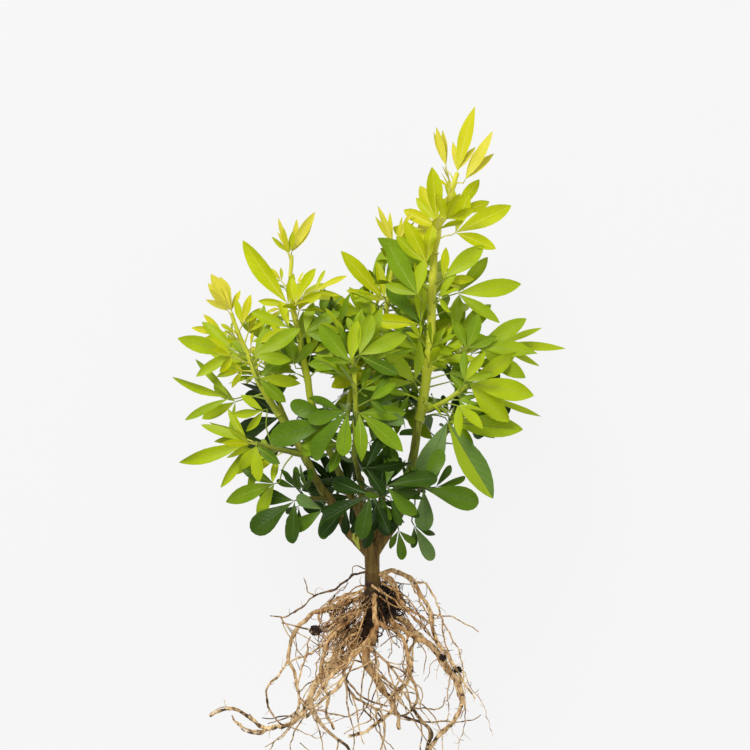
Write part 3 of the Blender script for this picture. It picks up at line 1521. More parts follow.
def placed(name: str, mesh: bpy.types.Mesh, finish: bpy.types.Material) -> bpy.types.Object:
    """A smooth object for a mesh, with its finish.

    Args:
        name: The object's name.
        mesh: The mesh.
        finish: Its material.

    Returns:
        The object.
    """
    mesh.materials.clear()
    mesh.materials.append(finish)
    mesh.polygons.foreach_set("use_smooth", [True] * len(mesh.polygons))
    made = bpy.data.objects.new(name, mesh)
    bpy.context.scene.collection.objects.link(made)
    return made


def swept(name: str, tubes: list[Tube], sides: int, finish: bpy.types.Material) -> bpy.types.Object:
    """One mesh of round tapering tubes, by a bevelled curve.

    Args:
        name: The piece's name.
        tubes: The tubes, in the plan's millimetres.
        sides: The number of sides of each, at least 4.
        finish: The material.

    Returns:
        The piece.
    """
    curve = bpy.data.curves.new(name, "CURVE")
    curve.dimensions = "3D"
    curve.bevel_depth = MM
    curve.bevel_resolution = (sides - 4) // 2
    curve.use_fill_caps = True
    for tube in tubes:
        spline = curve.splines.new("POLY")
        spline.points.add(len(tube.points) - 1)
        places = to_world(np.array([tuple(point) for point in tube.points]))
        flat = np.hstack([places, np.ones((len(places), 1))]).ravel()
        spline.points.foreach_set("co", flat)
        spline.points.foreach_set("radius", tube.radii)
    holder = bpy.data.objects.new(name + "_curve", curve)
    bpy.context.scene.collection.objects.link(holder)
    graph = bpy.context.evaluated_depsgraph_get()
    mesh = bpy.data.meshes.new_from_object(holder.evaluated_get(graph))
    mesh.name = name
    bpy.data.objects.remove(holder)
    bpy.data.curves.remove(curve)
    return placed(name, mesh, finish)


def refined(tube: Tube, step: float, sides: int, wobble: float = 0.0, seed: float = 0.0) -> Tube:
    """A tube with points a short step apart, on a smooth curve, that wavers a little.

    Args:
        tube: The coarse tube.
        step: The distance between points.
        sides: The number of sides.
        wobble: How far it wavers, in millimetres.
        seed: What makes this tube's wavering its own.

    Returns:
        The fine tube.
    """
    points, radii = [tube.points[0]], [tube.radii[0]]
    for index, part, point in smooth_steps(tube.points, step):
        points.append(point)
        radii.append(tube.radii[index] * (1 - part) + tube.radii[index + 1] * part)
    last = len(points) - 1
    own = Vector((seed, seed * 2, 0))
    for index, point in enumerate(points):
        fade = min(1.0, index / WAVER_FADE, (last - index) / WAVER_FADE)
        shift = noise.noise_vector(point * WAVER_SCALE + own)
        points[index] = point + shift * (wobble * fade)
    return Tube(points, radii, sides)


def roughened(piece: bpy.types.Object, height: float, scale: Vector, ridged: float = 0.0) -> None:
    """Gives a mesh real relief, by moving each point along its normal.

    Args:
        piece: The piece, whose mesh is changed.
        height: The relief's height, in metres.
        scale: How fine the relief is along X, Y and Z, per metre.
        ridged: The share of the relief that is narrow ridges, from 0 to 1.
    """
    for vert in piece.data.vertices:
        place = Vector([vert.co[axis] * scale[axis] for axis in range(3)])
        soft = noise.noise(place)
        sharp = 1 - 2 * abs(noise.noise(place * RIDGE_SCALE))
        vert.co += vert.normal * (height * (soft * (1 - ridged) + (sharp - 0.5) * ridged))


# The leaves' fine forms.

# A blade's mesh: its rows from base to tip, its columns from right to left, and the place of each
# point along and across it.
ROWS = np.array((0.09, 0.20, 0.33, 0.47, 0.60, 0.72, 0.83, 0.92, 0.975))
COLUMNS = np.array((-1.0, -0.55, 0.0, 0.55, 1.0))
ALONG = np.concatenate(([0.0], np.repeat(ROWS, len(COLUMNS)), [1.0]))
ACROSS = np.concatenate(([0.0], np.tile(COLUMNS, len(ROWS)), [0.0]))
CURL_POWER = 1.4
WAVES = 1.4

# A rib: its rows of three points, half its width at both ends, the length of a blade from which it
# is full, how far it stands off the skin, and how high its crest is as a share of half its width.
RIB_ROWS = np.array((0.0, 0.12, 0.28, 0.45, 0.62, 0.78, 0.92))
RIB_REACH = (0.42, 0.10)
RIB_FULL_LENGTH = 40.0
RIB_LIFT = 0.03
RIB_CREST = 0.5
LEAST_WIDTH = 0.3


@dataclass(frozen=True)
class BladeForm:
    """The outline of a blade: how soon it widens from its base, and how round its tip is."""

    base: float
    tip: float

    def half_widths(self, along: np.ndarray) -> np.ndarray:
        """The half width at places along the blade, as a share of the greatest."""
        peak = self.base / (self.base + self.tip)
        return (along / peak) ** self.base * ((1 - along) / (1 - peak)) ** self.tip


YOUNG_FORM = BladeForm(1.15, 1.0)
GROWN_FORM = BladeForm(1.30, 0.90)
OLD_FORM = BladeForm(1.45, 0.58)


def grid_faces(rows: int, columns: int, first: int = 0) -> list[tuple[int, ...]]:
    """The faces between rows of points, which are numbered row by row.

    Args:
        rows: The number of rows.
        columns: The number of points in a row.
        first: The number of the first point.

    Returns:
        The faces, row by row.
    """
    faces = []
    for row in range(rows - 1):
        start = first + row * columns
        for low in range(start, start + columns - 1):
            faces.append((low, low + 1, low + 1 + columns, low + columns))
    return faces


def blade_faces() -> list[tuple[int, ...]]:
    """The faces of one blade: a fan from its base, the grid of its rows, and a fan to its tip.

    Returns:
        The faces, as the numbers of their corners.
    """
    rows, columns = len(ROWS), len(COLUMNS)
    last = 1 + (rows - 1) * columns
    base = [(0, column + 2, column + 1) for column in range(columns - 1)]
    tip = [(last + column, last + column + 1, last + columns) for column in range(columns - 1)]
    return base + grid_faces(rows, columns, 1) + tip


def joined(name: str, parts: list[np.ndarray], pattern: list[tuple[int, ...]]) -> bpy.types.Mesh:
    """One mesh of many parts that are built alike.

    Args:
        name: The mesh's name.
        parts: Each part's points, in the plan's millimetres.
        pattern: The faces of one part.

    Returns:
        The mesh.
    """
    faces = []
    for number, points in enumerate(parts):
        start = number * len(points)
        faces += [tuple(start + corner for corner in face) for face in pattern]
    mesh = bpy.data.meshes.new(name)
    mesh.from_pydata(to_world(np.concatenate(parts)).tolist(), [], faces)
    return mesh


@dataclass
class Blade:
    """One blade: where it starts, its axes, its size and how it bends."""

    hub: Vector
    direction: Vector
    across: Vector
    face: Vector
    length: float
    half_width: float
    form: BladeForm
    fold: float
    droop: float
    bend: float
    twist: float
    wave: float
    phase: float

    def surface(self, along: np.ndarray, across: np.ndarray, lift: float = 0.0) -> np.ndarray:
        """Points of the blade's upper skin.

        Args:
            along: Places along the blade, from 0 to 1.
            across: Places across it, from -1 at its right edge to 1 at its left.
            lift: How far the points stand off the skin, in millimetres.

        Returns:
            The points, in the plan's millimetres and never below the floor.
        """
        width = self.half_width * self.form.half_widths(along)
        side = width * across
        rise = self.fold * width * np.abs(across) ** CURL_POWER
        waves = np.sin(math.tau * WAVES * along + self.phase + across)
        rise += self.wave * width * across ** 2 * waves
        turn = self.twist * along ** 2
        turned = side * np.cos(turn) - rise * np.sin(turn) + self.bend * self.length * along ** 2
        raised = side * np.sin(turn) + rise * np.cos(turn) - self.droop * self.length * along ** 2
        points = np.outer(along * self.length, self.direction) + np.outer(turned, self.across)
        points += np.outer(raised + lift, self.face) + np.array(self.hub)
        points[:, 2] = np.maximum(points[:, 2], -AXIS_HEIGHT + GAP)
        return points

    def points(self) -> np.ndarray:
        """The points of its mesh: its base, its rows from right to left, and its tip."""
        return self.surface(ALONG, ACROSS)

    def rib(self) -> np.ndarray:
        """The points of the raised midrib, in rows of three.

        Returns:
            The points.
        """
        half = np.interp(RIB_ROWS, RIB_ROWS[[0, -1]], RIB_REACH)
        half *= min(1.0, self.length / RIB_FULL_LENGTH)
        rows = []
        for place, reach in zip(RIB_ROWS, half):
            width = self.half_width * float(self.form.half_widths(np.array([place]))[0])
            for share, crest in ((-1, 0), (0, RIB_CREST), (1, 0)):
                across = np.array([share * reach / max(width, LEAST_WIDTH)])
                rows.append(self.surface(np.array([place]), across, RIB_LIFT + reach * crest)[0])
        return np.array(rows)


@dataclass
class Foliage:
    """All the leaves: blades by colour, ribs, and the stalks that carry them."""

    occupied: Occupied
    blades: dict[Tone, list[np.ndarray]] = field(default_factory=dict)
    ribs: dict[str, list[np.ndarray]] = field(default_factory=dict)
    stalks: dict[str, list[Tube]] = field(default_factory=dict)
    small_seed: int = 500
    small_turn: float = 45.0
    small_sway: float = 40.0
    small_length: tuple = (0.48, 0.85)
    small_stalk: tuple = (0.4, 0.9)
    small_reach: float = LEAF_REACH * 0.66
    bare_foot: float = 3.0
    shade_from: float = 15.0
    shade_step: float = 75.0
    blue_share: float = 0.05
    roll: float = 15.0
    widths: tuple = (0.84, 1.06)
    old_width: float = 1.12
    spare_width: float = 1.25
    young_below: float = BLADE_WIDTH * 0.8
    folds: tuple = (0.12, 0.34, 0.52)
    droops: tuple = (-0.02, 0.15)
    bends: tuple = (-0.09, 0.09)
    twist: float = 0.35
    waves: tuple = (0.05, 0.20)
    stalk_radii: tuple = (0.95, 0.62, 0.5)
    stalk_sides: int = 6

    def grow_between(self, mass: Mass) -> None:
        """Adds smaller leaves on the shoot between its pairs, where they have room.

        Args:
            mass: The mass.
        """
        rng = random.Random(mass.seed + self.small_seed)
        filling = DENSE if mass.name in SHADED else OPEN
        distance = filling.first
        turn = LEAF_PHASE + self.small_turn
        while distance < mass.tube.length() - self.bare_foot:
            age = min(1.0, distance / OLD_AT + filling.age)
            for side in filling.turns:
                place_leaf(lambda: self.small_leaf(mass, distance, age, turn + side, rng), mass,
                           self.small_reach, self.occupied)
            distance += rng.uniform(*filling.steps)
            turn += 90

    def small_leaf(self, mass: Mass, distance: float, age: float, turn: float,
                   rng: random.Random) -> Leaf:
        """A smaller leaf by the plant's own rule, closer to its shoot.

        Args:
            mass: The mass that it belongs to.
            distance: How far its foot is from the shoot's tip.
            age: From 0, just open, to 1, fully grown.
            turn: About the way that it leaves the shoot, in degrees round it.
            rng: The random draws.

        Returns:
            The leaf.
        """
        turn += rng.uniform(-self.small_sway, self.small_sway)
        leaf = rule_leaf(mass, distance, age, turn, rng)
        leaf.length *= rng.uniform(*self.small_length)
        leaf.hub = leaf.foot.lerp(leaf.hub, rng.uniform(*self.small_stalk))
        return leaf

    def tones(self, leaf: Leaf, mass: Mass, rng: random.Random) -> tuple[Tone, ...]:
        """The colours that a leaf's middle and side blades are dealt.

        Args:
            leaf: The leaf.
            mass: Its spray, which gives the range by the leaf's age.
            rng: The leaf's own random draws.

        Returns:
            The middle blade's tone, the right one's and, where it differs, the left one's.
        """
        own = LEAF_TONES.get((round(leaf.hub.x), round(leaf.hub.y)))
        if own:
            return tuple(Tone[name] for name in own.split())
        tip, grown = mass.tones
        depth = max(0.0, (self.shade_from - leaf.hub.z) / self.shade_step)
        place = tip + (grown - tip) * leaf.age ** 0.6 + depth
        place += rng.gauss(0, 0.4 + 0.75 * leaf.age)
        if leaf.age > 0.6 and rng.random() < self.blue_share:
            return Tone.BLUE, Tone.BLUE
        places = (place, place + rng.gauss(0.2, 0.5))
        return tuple(AGES[min(max(round(number), 0), len(AGES) - 1)] for number in places)

    def dress(self) -> None:
        """Turns every leaf into blades, ribs and a stalk, dealt out by colour."""
        for mass in MASSES:
            for leaf in mass.leaves:
                seed = round(leaf.hub.x * SEED_STEP) * SEED_ROW + round(leaf.hub.y * SEED_STEP)
                tones = self.tones(leaf, mass, random.Random(seed))
                self.dress_leaf(leaf, tones, random.Random(seed + 1))

    def dress_leaf(self, leaf: Leaf, tones: tuple[Tone, ...], rng: random.Random) -> None:
        """Adds one leaf's blades, ribs and stalk.

        Args:
            leaf: The leaf.
            tones: Its blades' colours.
            rng: The leaf's own random draws.
        """
        middle, right, left = tones[0], tones[1], tones[-1]
        limit = self.spare_width * NARROWEST * math.tan(math.radians(leaf.spread / 2 * BLADE_SHARE))
        share = BLADE_WIDTHS.get((round(leaf.hub.x), round(leaf.hub.y)), 1.0)
        young = leaf.width < self.young_below
        old = middle in OLD_TONES or middle is Tone.BLUE
        group = "young" if middle in YOUNG_TONES else "grown" if middle in GROWN_TONES else "old"
        form = YOUNG_FORM if young else OLD_FORM if old else GROWN_FORM
        least_fold, young_fold, grown_fold = self.folds
        if middle is Tone.YELLOW:
            leaf = replace(leaf, spread=leaf.spread * HALF_CLOSED)
        for (direction, length), tone in zip(blade_axes(leaf), (right, middle, left)):
            roll = Matrix.Rotation(math.radians(rng.gauss(0, self.roll)), 3, direction)
            across = roll @ leaf.normal.cross(direction).normalized()
            half_width = length * min(leaf.width * rng.uniform(*self.widths), limit) * share / 2
            half_width *= self.old_width if old else 1.0
            blade = Blade(leaf.hub, direction, across, direction.cross(across), length, half_width,
                          form, fold=rng.uniform(least_fold, young_fold if young else grown_fold),
                          droop=rng.uniform(*self.droops), bend=rng.uniform(*self.bends),
                          twist=rng.gauss(0, self.twist), wave=rng.uniform(*self.waves),
                          phase=rng.uniform(0, math.tau))
            self.blades.setdefault(tone, []).append(blade.points())
            self.ribs.setdefault(group, []).append(blade.rib())
        self.stalks.setdefault(group, []).append(self.stalk_tube(leaf))

    def stalk_tube(self, leaf: Leaf) -> Tube:
        """The leaf's stalk.

        Args:
            leaf: The leaf.

        Returns:
            Its tube, from its foot in the middle of the stem up to its hub.
        """
        points = leaf.stalk()[::-1]
        foot, middle, hub = self.stalk_radii
        radii = [foot] + [middle] * (len(points) - 2) + [hub]
        return refined(Tube(points, radii, self.stalk_sides), 4.0, self.stalk_sides, 0.5, leaf.length)

    def blade_piece(self, tone: Tone) -> bpy.types.Object:
        """All the blades of one colour as one mesh, mapped along and across each blade.

        Args:
            tone: The colour.

        Returns:
            The piece.
        """
        mesh = joined(tone.value.name, self.blades[tone], blade_faces())
        corners = np.empty(len(mesh.loops), dtype=np.int32)
        mesh.loops.foreach_get("vertex_index", corners)
        places = np.column_stack((ALONG, ACROSS / 2 + 0.5))[corners % len(ALONG)]
        mesh.uv_layers.new(name="UVMap").data.foreach_set("uv", places.ravel())
        return placed(tone.value.name, mesh, tone.value.material())

    def build(self) -> None:
        """Grows the leaves, dresses them, and makes every piece of the foliage."""
        grow_leaves(self.occupied)
        for mass in MASSES:
            self.grow_between(mass)
        self.dress()
        for tone in self.blades:
            slot = "leaf_lime" if tone in YOUNG_TONES else "leaf_green"
            slot = "leaf_dark" if tone in OLD_TONES else slot
            report(self.blade_piece(tone), slot, FOLIAGE_NAMES)
        for group in self.ribs:
            colour = RIB_COLOURS[group]
            mesh = joined("leaf_ribs_" + group, self.ribs[group], grid_faces(len(RIB_ROWS), 3))
            finish = PlainFinish("rib_" + group, colour).material()
            report(placed("leaf_ribs_" + group, mesh, finish), "leaf_green")
            finish = PlainFinish("stalk_" + group, colour).material()
            stalks = swept("leaf_stalks_" + group, self.stalks[group], self.stalk_sides, finish)
            report(stalks, "leaf_green")


# A bud that has just broken at the foot of the left bough: the middle line of each of its leaves.
SPROUT = (
    ((-14, 28, 8), (-16, 36, 11), (-14, 46, 12)),
    ((-15, 30, 9), (-19, 38, 11), (-19, 45, 11)),
)


@dataclass
class Woodwork:
    """The trunk, the boughs and the shoots."""

    trunk: Tube
    trunk_sides: int = 28
    trunk_step: float = 1.6
    trunk_girth: float = 0.93
    trunk_waver: float = 0.5
    stock_foot: float = -40.0
    stock_tip: float = 0.15
    stock_length: float = 16.0
    bough_sides: int = 20
    shoot_sides: int = 10
    step: float = 2.0
    waver: float = 0.8
    shoot_girth: float = 1.22
    node_girth: float = 0.16
    node_reach: float = 2.2
    sprout_radii: tuple = (1.0, 1.5, 0.4)
    sprout_sides: int = 8

    def build(self) -> None:
        """Makes the trunk and boughs in bark, and the shoots in their green skin."""
        bark = BarkFinish().material()
        trunk = refined(self.trunk, self.trunk_step, self.trunk_sides, self.trunk_waver, 1.0)
        for index, point in enumerate(trunk.points):
            rounded = self.stock_tip + (point.y - self.stock_foot) / self.stock_length
            trunk.radii[index] *= self.trunk_girth * min(1.0, rounded)
        piece = swept("trunk_bark", [trunk], self.trunk_sides, bark)
        roughened(piece, 0.0009, Vector((170, 70, 170)), 0.4)
        report(piece, "bark", ("trunk",))
        for number, limb in enumerate(BOUGHS):
            tube = refined(limb.whole(), self.step, self.bough_sides, self.waver, number * 3.1)
            piece = swept(limb.name + "_bark", [tube], self.bough_sides, bark)
            roughened(piece, 0.0005, Vector((260, 70, 260)), 0.5)
            report(piece, "bark", (limb.name,))
        shoots = [self.shoot(mass, number) for number, mass in enumerate(MASSES)]
        skin = StemFinish().material()
        report(swept("shoots", shoots, self.shoot_sides, skin), "leaf_green", FOLIAGE_NAMES)
        self.build_sprout()

    def build_sprout(self) -> None:
        """Makes the bud at the foot of the left bough."""
        radii = list(self.sprout_radii)
        leaves = [Tube([Vector(point) for point in route], radii, self.sprout_sides)
                  for route in SPROUT]
        skin = PlainFinish("sprout_skin", (178, 188, 60)).material()
        report(swept("sprout", leaves, self.sprout_sides, skin), "leaf_lime")

    def shoot(self, mass: Mass, number: int) -> Tube:
        """A mass's stem, a little swollen wherever a pair of leaves stands.

        Args:
            mass: The mass.
            number: Its number, which makes its wavering its own.

        Returns:
            The stem's tube.
        """
        tube = refined(mass.whole(), self.step, self.shoot_sides, self.waver, 40 + number * 1.7)
        for index, point in enumerate(tube.points):
            near = min((point - leaf.foot).length for leaf in mass.leaves)
            swelling = math.exp(-(near / self.node_reach) ** 2)
            tube.radii[index] *= self.shoot_girth + self.node_girth * swelling
        return tube


# The middle of the root stock, and the colours of its skin and of the finest roots.
ROOT_STOCK = Vector((-1, -34, 0))
SOIL_BROWN = (50, 32, 20)
ROOT_TAN = (202, 162, 108)
ROOT_PALE = (240, 210, 160)
HAIR_COLOURS = {
    "dark": SOIL_BROWN,
    "tan": (206, 168, 120),
    "pale": (214, 184, 142),
}


class FineRoot(NamedTuple):
    """A thinner root that stands out: its route in plan, seen from above.

    heights are those at its start, middle and end; radii those at both ends.
    """

    heights: tuple
    radii: tuple
    route: tuple
    stained: bool = False


class Tangle(NamedTuple):
    """A thicket of fibres: its middle, its reach along each axis, and the way that they lean.

    count is their number, and dark the share of them that soil stains.
    """

    middle: tuple
    reach: tuple
    flow: tuple
    count: int
    dark: float


TANGLES = (
    Tangle((8, -22, -4), (17, 22, 11), (0, 0, 0), 280, 0.95),
    Tangle((-26, -36, 4), (20, 34, 15), (-0.34, -0.32, 0), 170, 0.22),
    Tangle((-8, -50, -4), (9, 16, 8), (0, 0, 0), 110, 0.95),
    Tangle((-53, -45, 14), (4, 3, 2), (0, 0, 0), 26, 1.0),
    Tangle((74, -80, 8), (3, 2, 3), (0, 0, 0), 16, 1.0),
    Tangle((61, -69, 12), (2, 2, 2), (0, 0, 0), 10, 1.0),
)

FINE_ROOTS = tuple(FineRoot(*row) for row in (
    ((27, 28, 18), (1.2, 0.8), ((1, -32), (4, -37), (9, -40), (15, -43), (22, -47))),
    ((10, 24, 14), (1.0, 0.6), ((-3, -4), (3, -8), (9, -13), (17, -17), (23, -23), (30, -29), (38, -36),
        (46, -44), (53, -54))),
    ((9, 14, 14), (1.0, 0.6), ((31, 1), (38, -2), (45, -3), (50, -8), (54, -15), (57, -25), (60, -35),
        (61, -45), (63, -55), (66, -64))),
    ((9, 16, 14), (1.4, 0.9), ((6, 3), (14, -3), (19, -9), (22, -16), (26, -22), (33, -27), (42, -32),
        (50, -38))),
    ((8, 14, 12), (1.1, 0.6), ((8, 5), (15, 2), (20, -5), (24, -13), (27, -22), (33, -31), (41, -40),
        (49, -50))),
    ((8, 10, 9), (0.6, 0.35), ((6, -1), (13, -1), (20, -2), (27, -3), (34, -3)), True),
    ((14, 14, 4), (0.8, 0.5), ((60, -36), (63, -41), (68, -50), (73, -58), (77, -68), (79, -78),
        (80, -90), (81, -102))),
    ((6, 0, -4), (0.5, 0.2), ((80, -82), (84, -92), (88, -100), (93, -106), (98, -113), (102, -124),
        (106, -141))),
    ((0, -4, -8), (0.45, 0.25), ((80, -106), (82, -120), (80, -135), (77, -146), (74, -156))),
    ((6, 2, 0), (0.45, 0.25), ((73, -84), (71, -92), (70, -100), (66, -107), (61, -110)), True),
    ((6, 2, 0), (0.5, 0.3), ((68, -84), (66, -94), (65, -104), (66, -114), (66, -124), (63, -134),
        (60, -140))),
    ((0, 0, 0), (0.4, 0.2), ((66, -125), (62, -127), (57, -128), (54, -131)), True),
    ((6, 4, 4), (0.4, 0.2), ((60, -72), (57, -79), (56, -90))),
    ((6, 4, 4), (0.4, 0.25), ((56, -71), (50, -76), (49, -84), (44, -91)), True),
    ((14, 24, 14), (0.9, 0.6), ((30, -50), (28, -58), (29, -68), (30, -78), (31, -86), (27, -92),
        (20, -97), (14, -101)), True),
    ((16, 26, 10), (0.9, 0.6), ((34, -60), (33, -70), (30, -80), (29, -90), (25, -98), (21, -108),
        (19, -116))),
    ((22, 20, 2), (0.9, 1.0), ((1, -82), (8, -87), (14, -92), (20, -97), (27, -102), (31, -108),
        (33, -115), (28, -121), (23, -122))),
    ((16, 20, 18), (0.5, 0.3), ((9, -40), (12, -48), (15, -57), (15, -64), (12, -70))),
    ((14, 16, 14), (0.4, 0.2), ((18, -46), (23, -54), (26, -64), (25, -72), (21, -79))),
    ((34, 30, 24), (0.7, 0.4), ((-9, -57), (-5, -62), (0, -67), (2, -76), (3, -84))),
    ((-2, -3, -6), (1.3, 1.4), ((33, -115), (38, -121), (43, -127), (49, -134)), True),
    ((2, -2, -6), (1.1, 1.6), ((24, -122), (33, -125), (41, -128), (48, -133), (51, -140), (48, -147),
        (46, -156)), True),
    ((4, 0, -16), (1.04, 0.8), ((-77, -71), (-84, -80), (-90, -89), (-96, -94), (-98, -105),
        (-95, -115), (-91, -123), (-86, -129), (-78, -132))),
    ((18, 10, 4), (0.9, 0.7), ((-44, -57), (-53, -62), (-60, -66), (-70, -70), (-79, -75))),
    ((16, 10, 2), (0.6, 0.9), ((-58, -50), (-60, -58), (-61, -66), (-66, -80), (-69, -92),
        (-69, -101))),
    ((10, 6, 4), (0.4, 0.25), ((-71, -48), (-71, -62), (-70, -72), (-68, -81)), True),
    ((12, 14, 14), (0.5, 1.1), ((-84, -38), (-78, -39), (-70, -41), (-62, -44), (-55, -45), (-48, -43),
        (-40, -40)), True),
    ((14, 15, 14), (2.4, 1.9), ((-57, -47), (-54, -45), (-51, -47), (-49, -45)), True),
    ((16, 18, 18), (0.7, 0.4), ((-55, -13), (-60, -10), (-61, -4), (-64, 3)), True),
    ((7, 10, 8), (0.6, 0.3), ((-9, 10), (-15, 13), (-20, 11), (-21, 4)), True),
    ((-30, -36, -38), (1.4, 0.6), ((-86, -133), (-98, -137), (-107, -139), (-118, -136), (-127, -129),
        (-130, -124))),
    ((-42, -42, -40), (0.4, 0.25), ((-131, -119), (-135, -115), (-137, -110))),
    ((32, 22, 2), (1.3, 1.0), ((-27, -84), (-33, -95), (-41, -101), (-48, -108), (-56, -116),
        (-62, -124))),
    ((30, 20, 14), (0.9, 0.4), ((-21, -76), (-26, -87), (-24, -97), (-22, -107), (-20, -112)), True),
    ((24, 20, 14), (1.0, 0.9), ((-26, -88), (-19, -97), (-11, -104), (0, -109), (11, -113)), True),
    ((-20, -18, -14), (0.5, 0.4), ((-78, -133), (-70, -136), (-60, -141), (-54, -144), (-48, -141),
        (-46, -138))),
    ((-16, -14, -14), (0.9, 0.4), ((-71, -124), (-79, -123), (-86, -124), (-92, -125), (-102, -125)),
        True),
    ((4, 6, 8), (0.35, 0.25), ((-50, -131), (-38, -127), (-25, -123), (-12, -119))),
    ((-4, 6, 20), (0.5, 0.6), ((-68, -101), (-60, -93), (-52, -88), (-45, -82))),
    ((14, 24, 24), (0.7, 0.4), ((-4, -16), (-10, -22), (-16, -29), (-17, -38), (-14, -43))),
    ((14, 22, 24), (0.8, 0.5), ((-2, -23), (-10, -25), (-20, -29), (-30, -34), (-38, -39), (-44, -47))),
    ((12, 20, 22), (0.8, 0.5), ((-6, -14), (-14, -21), (-24, -30), (-31, -39), (-36, -50), (-38, -62))),
    ((10, 16, 18), (1.0, 0.6), ((-8, -6), (-16, -12), (-26, -17), (-36, -22), (-44, -24))),
    ((12, 18, 16), (0.9, 0.5), ((3, -6), (9, -12), (12, -20), (14, -28), (18, -36), (25, -44),
        (30, -54))),
    ((14, 20, 16), (0.7, 0.4), ((4, -14), (10, -19), (16, -22), (24, -26), (30, -34), (34, -44))),
    ((16, 24, 22), (0.8, 0.5), ((3, -24), (7, -30), (9, -38), (13, -46), (15, -54), (22, -60))),
    ((12, 16, 12), (0.9, 0.5), ((6, -2), (14, -7), (22, -11), (30, -17), (36, -25), (40, -34),
        (42, -44))),
    ((14, 24, 26), (0.9, 0.6), ((-4, -20), (-9, -29), (-12, -38), (-16, -47), (-22, -56), (-25, -66))),
    ((20, 26, 26), (0.9, 0.6), ((-16, -46), (-25, -52), (-31, -60), (-31, -69), (-25, -74))),
))


# Main roots that run alone, without strands beside them; the first is thin and dark with soil.
BARE_ROOTS = ("root_left_thin", "root_left_hoop")


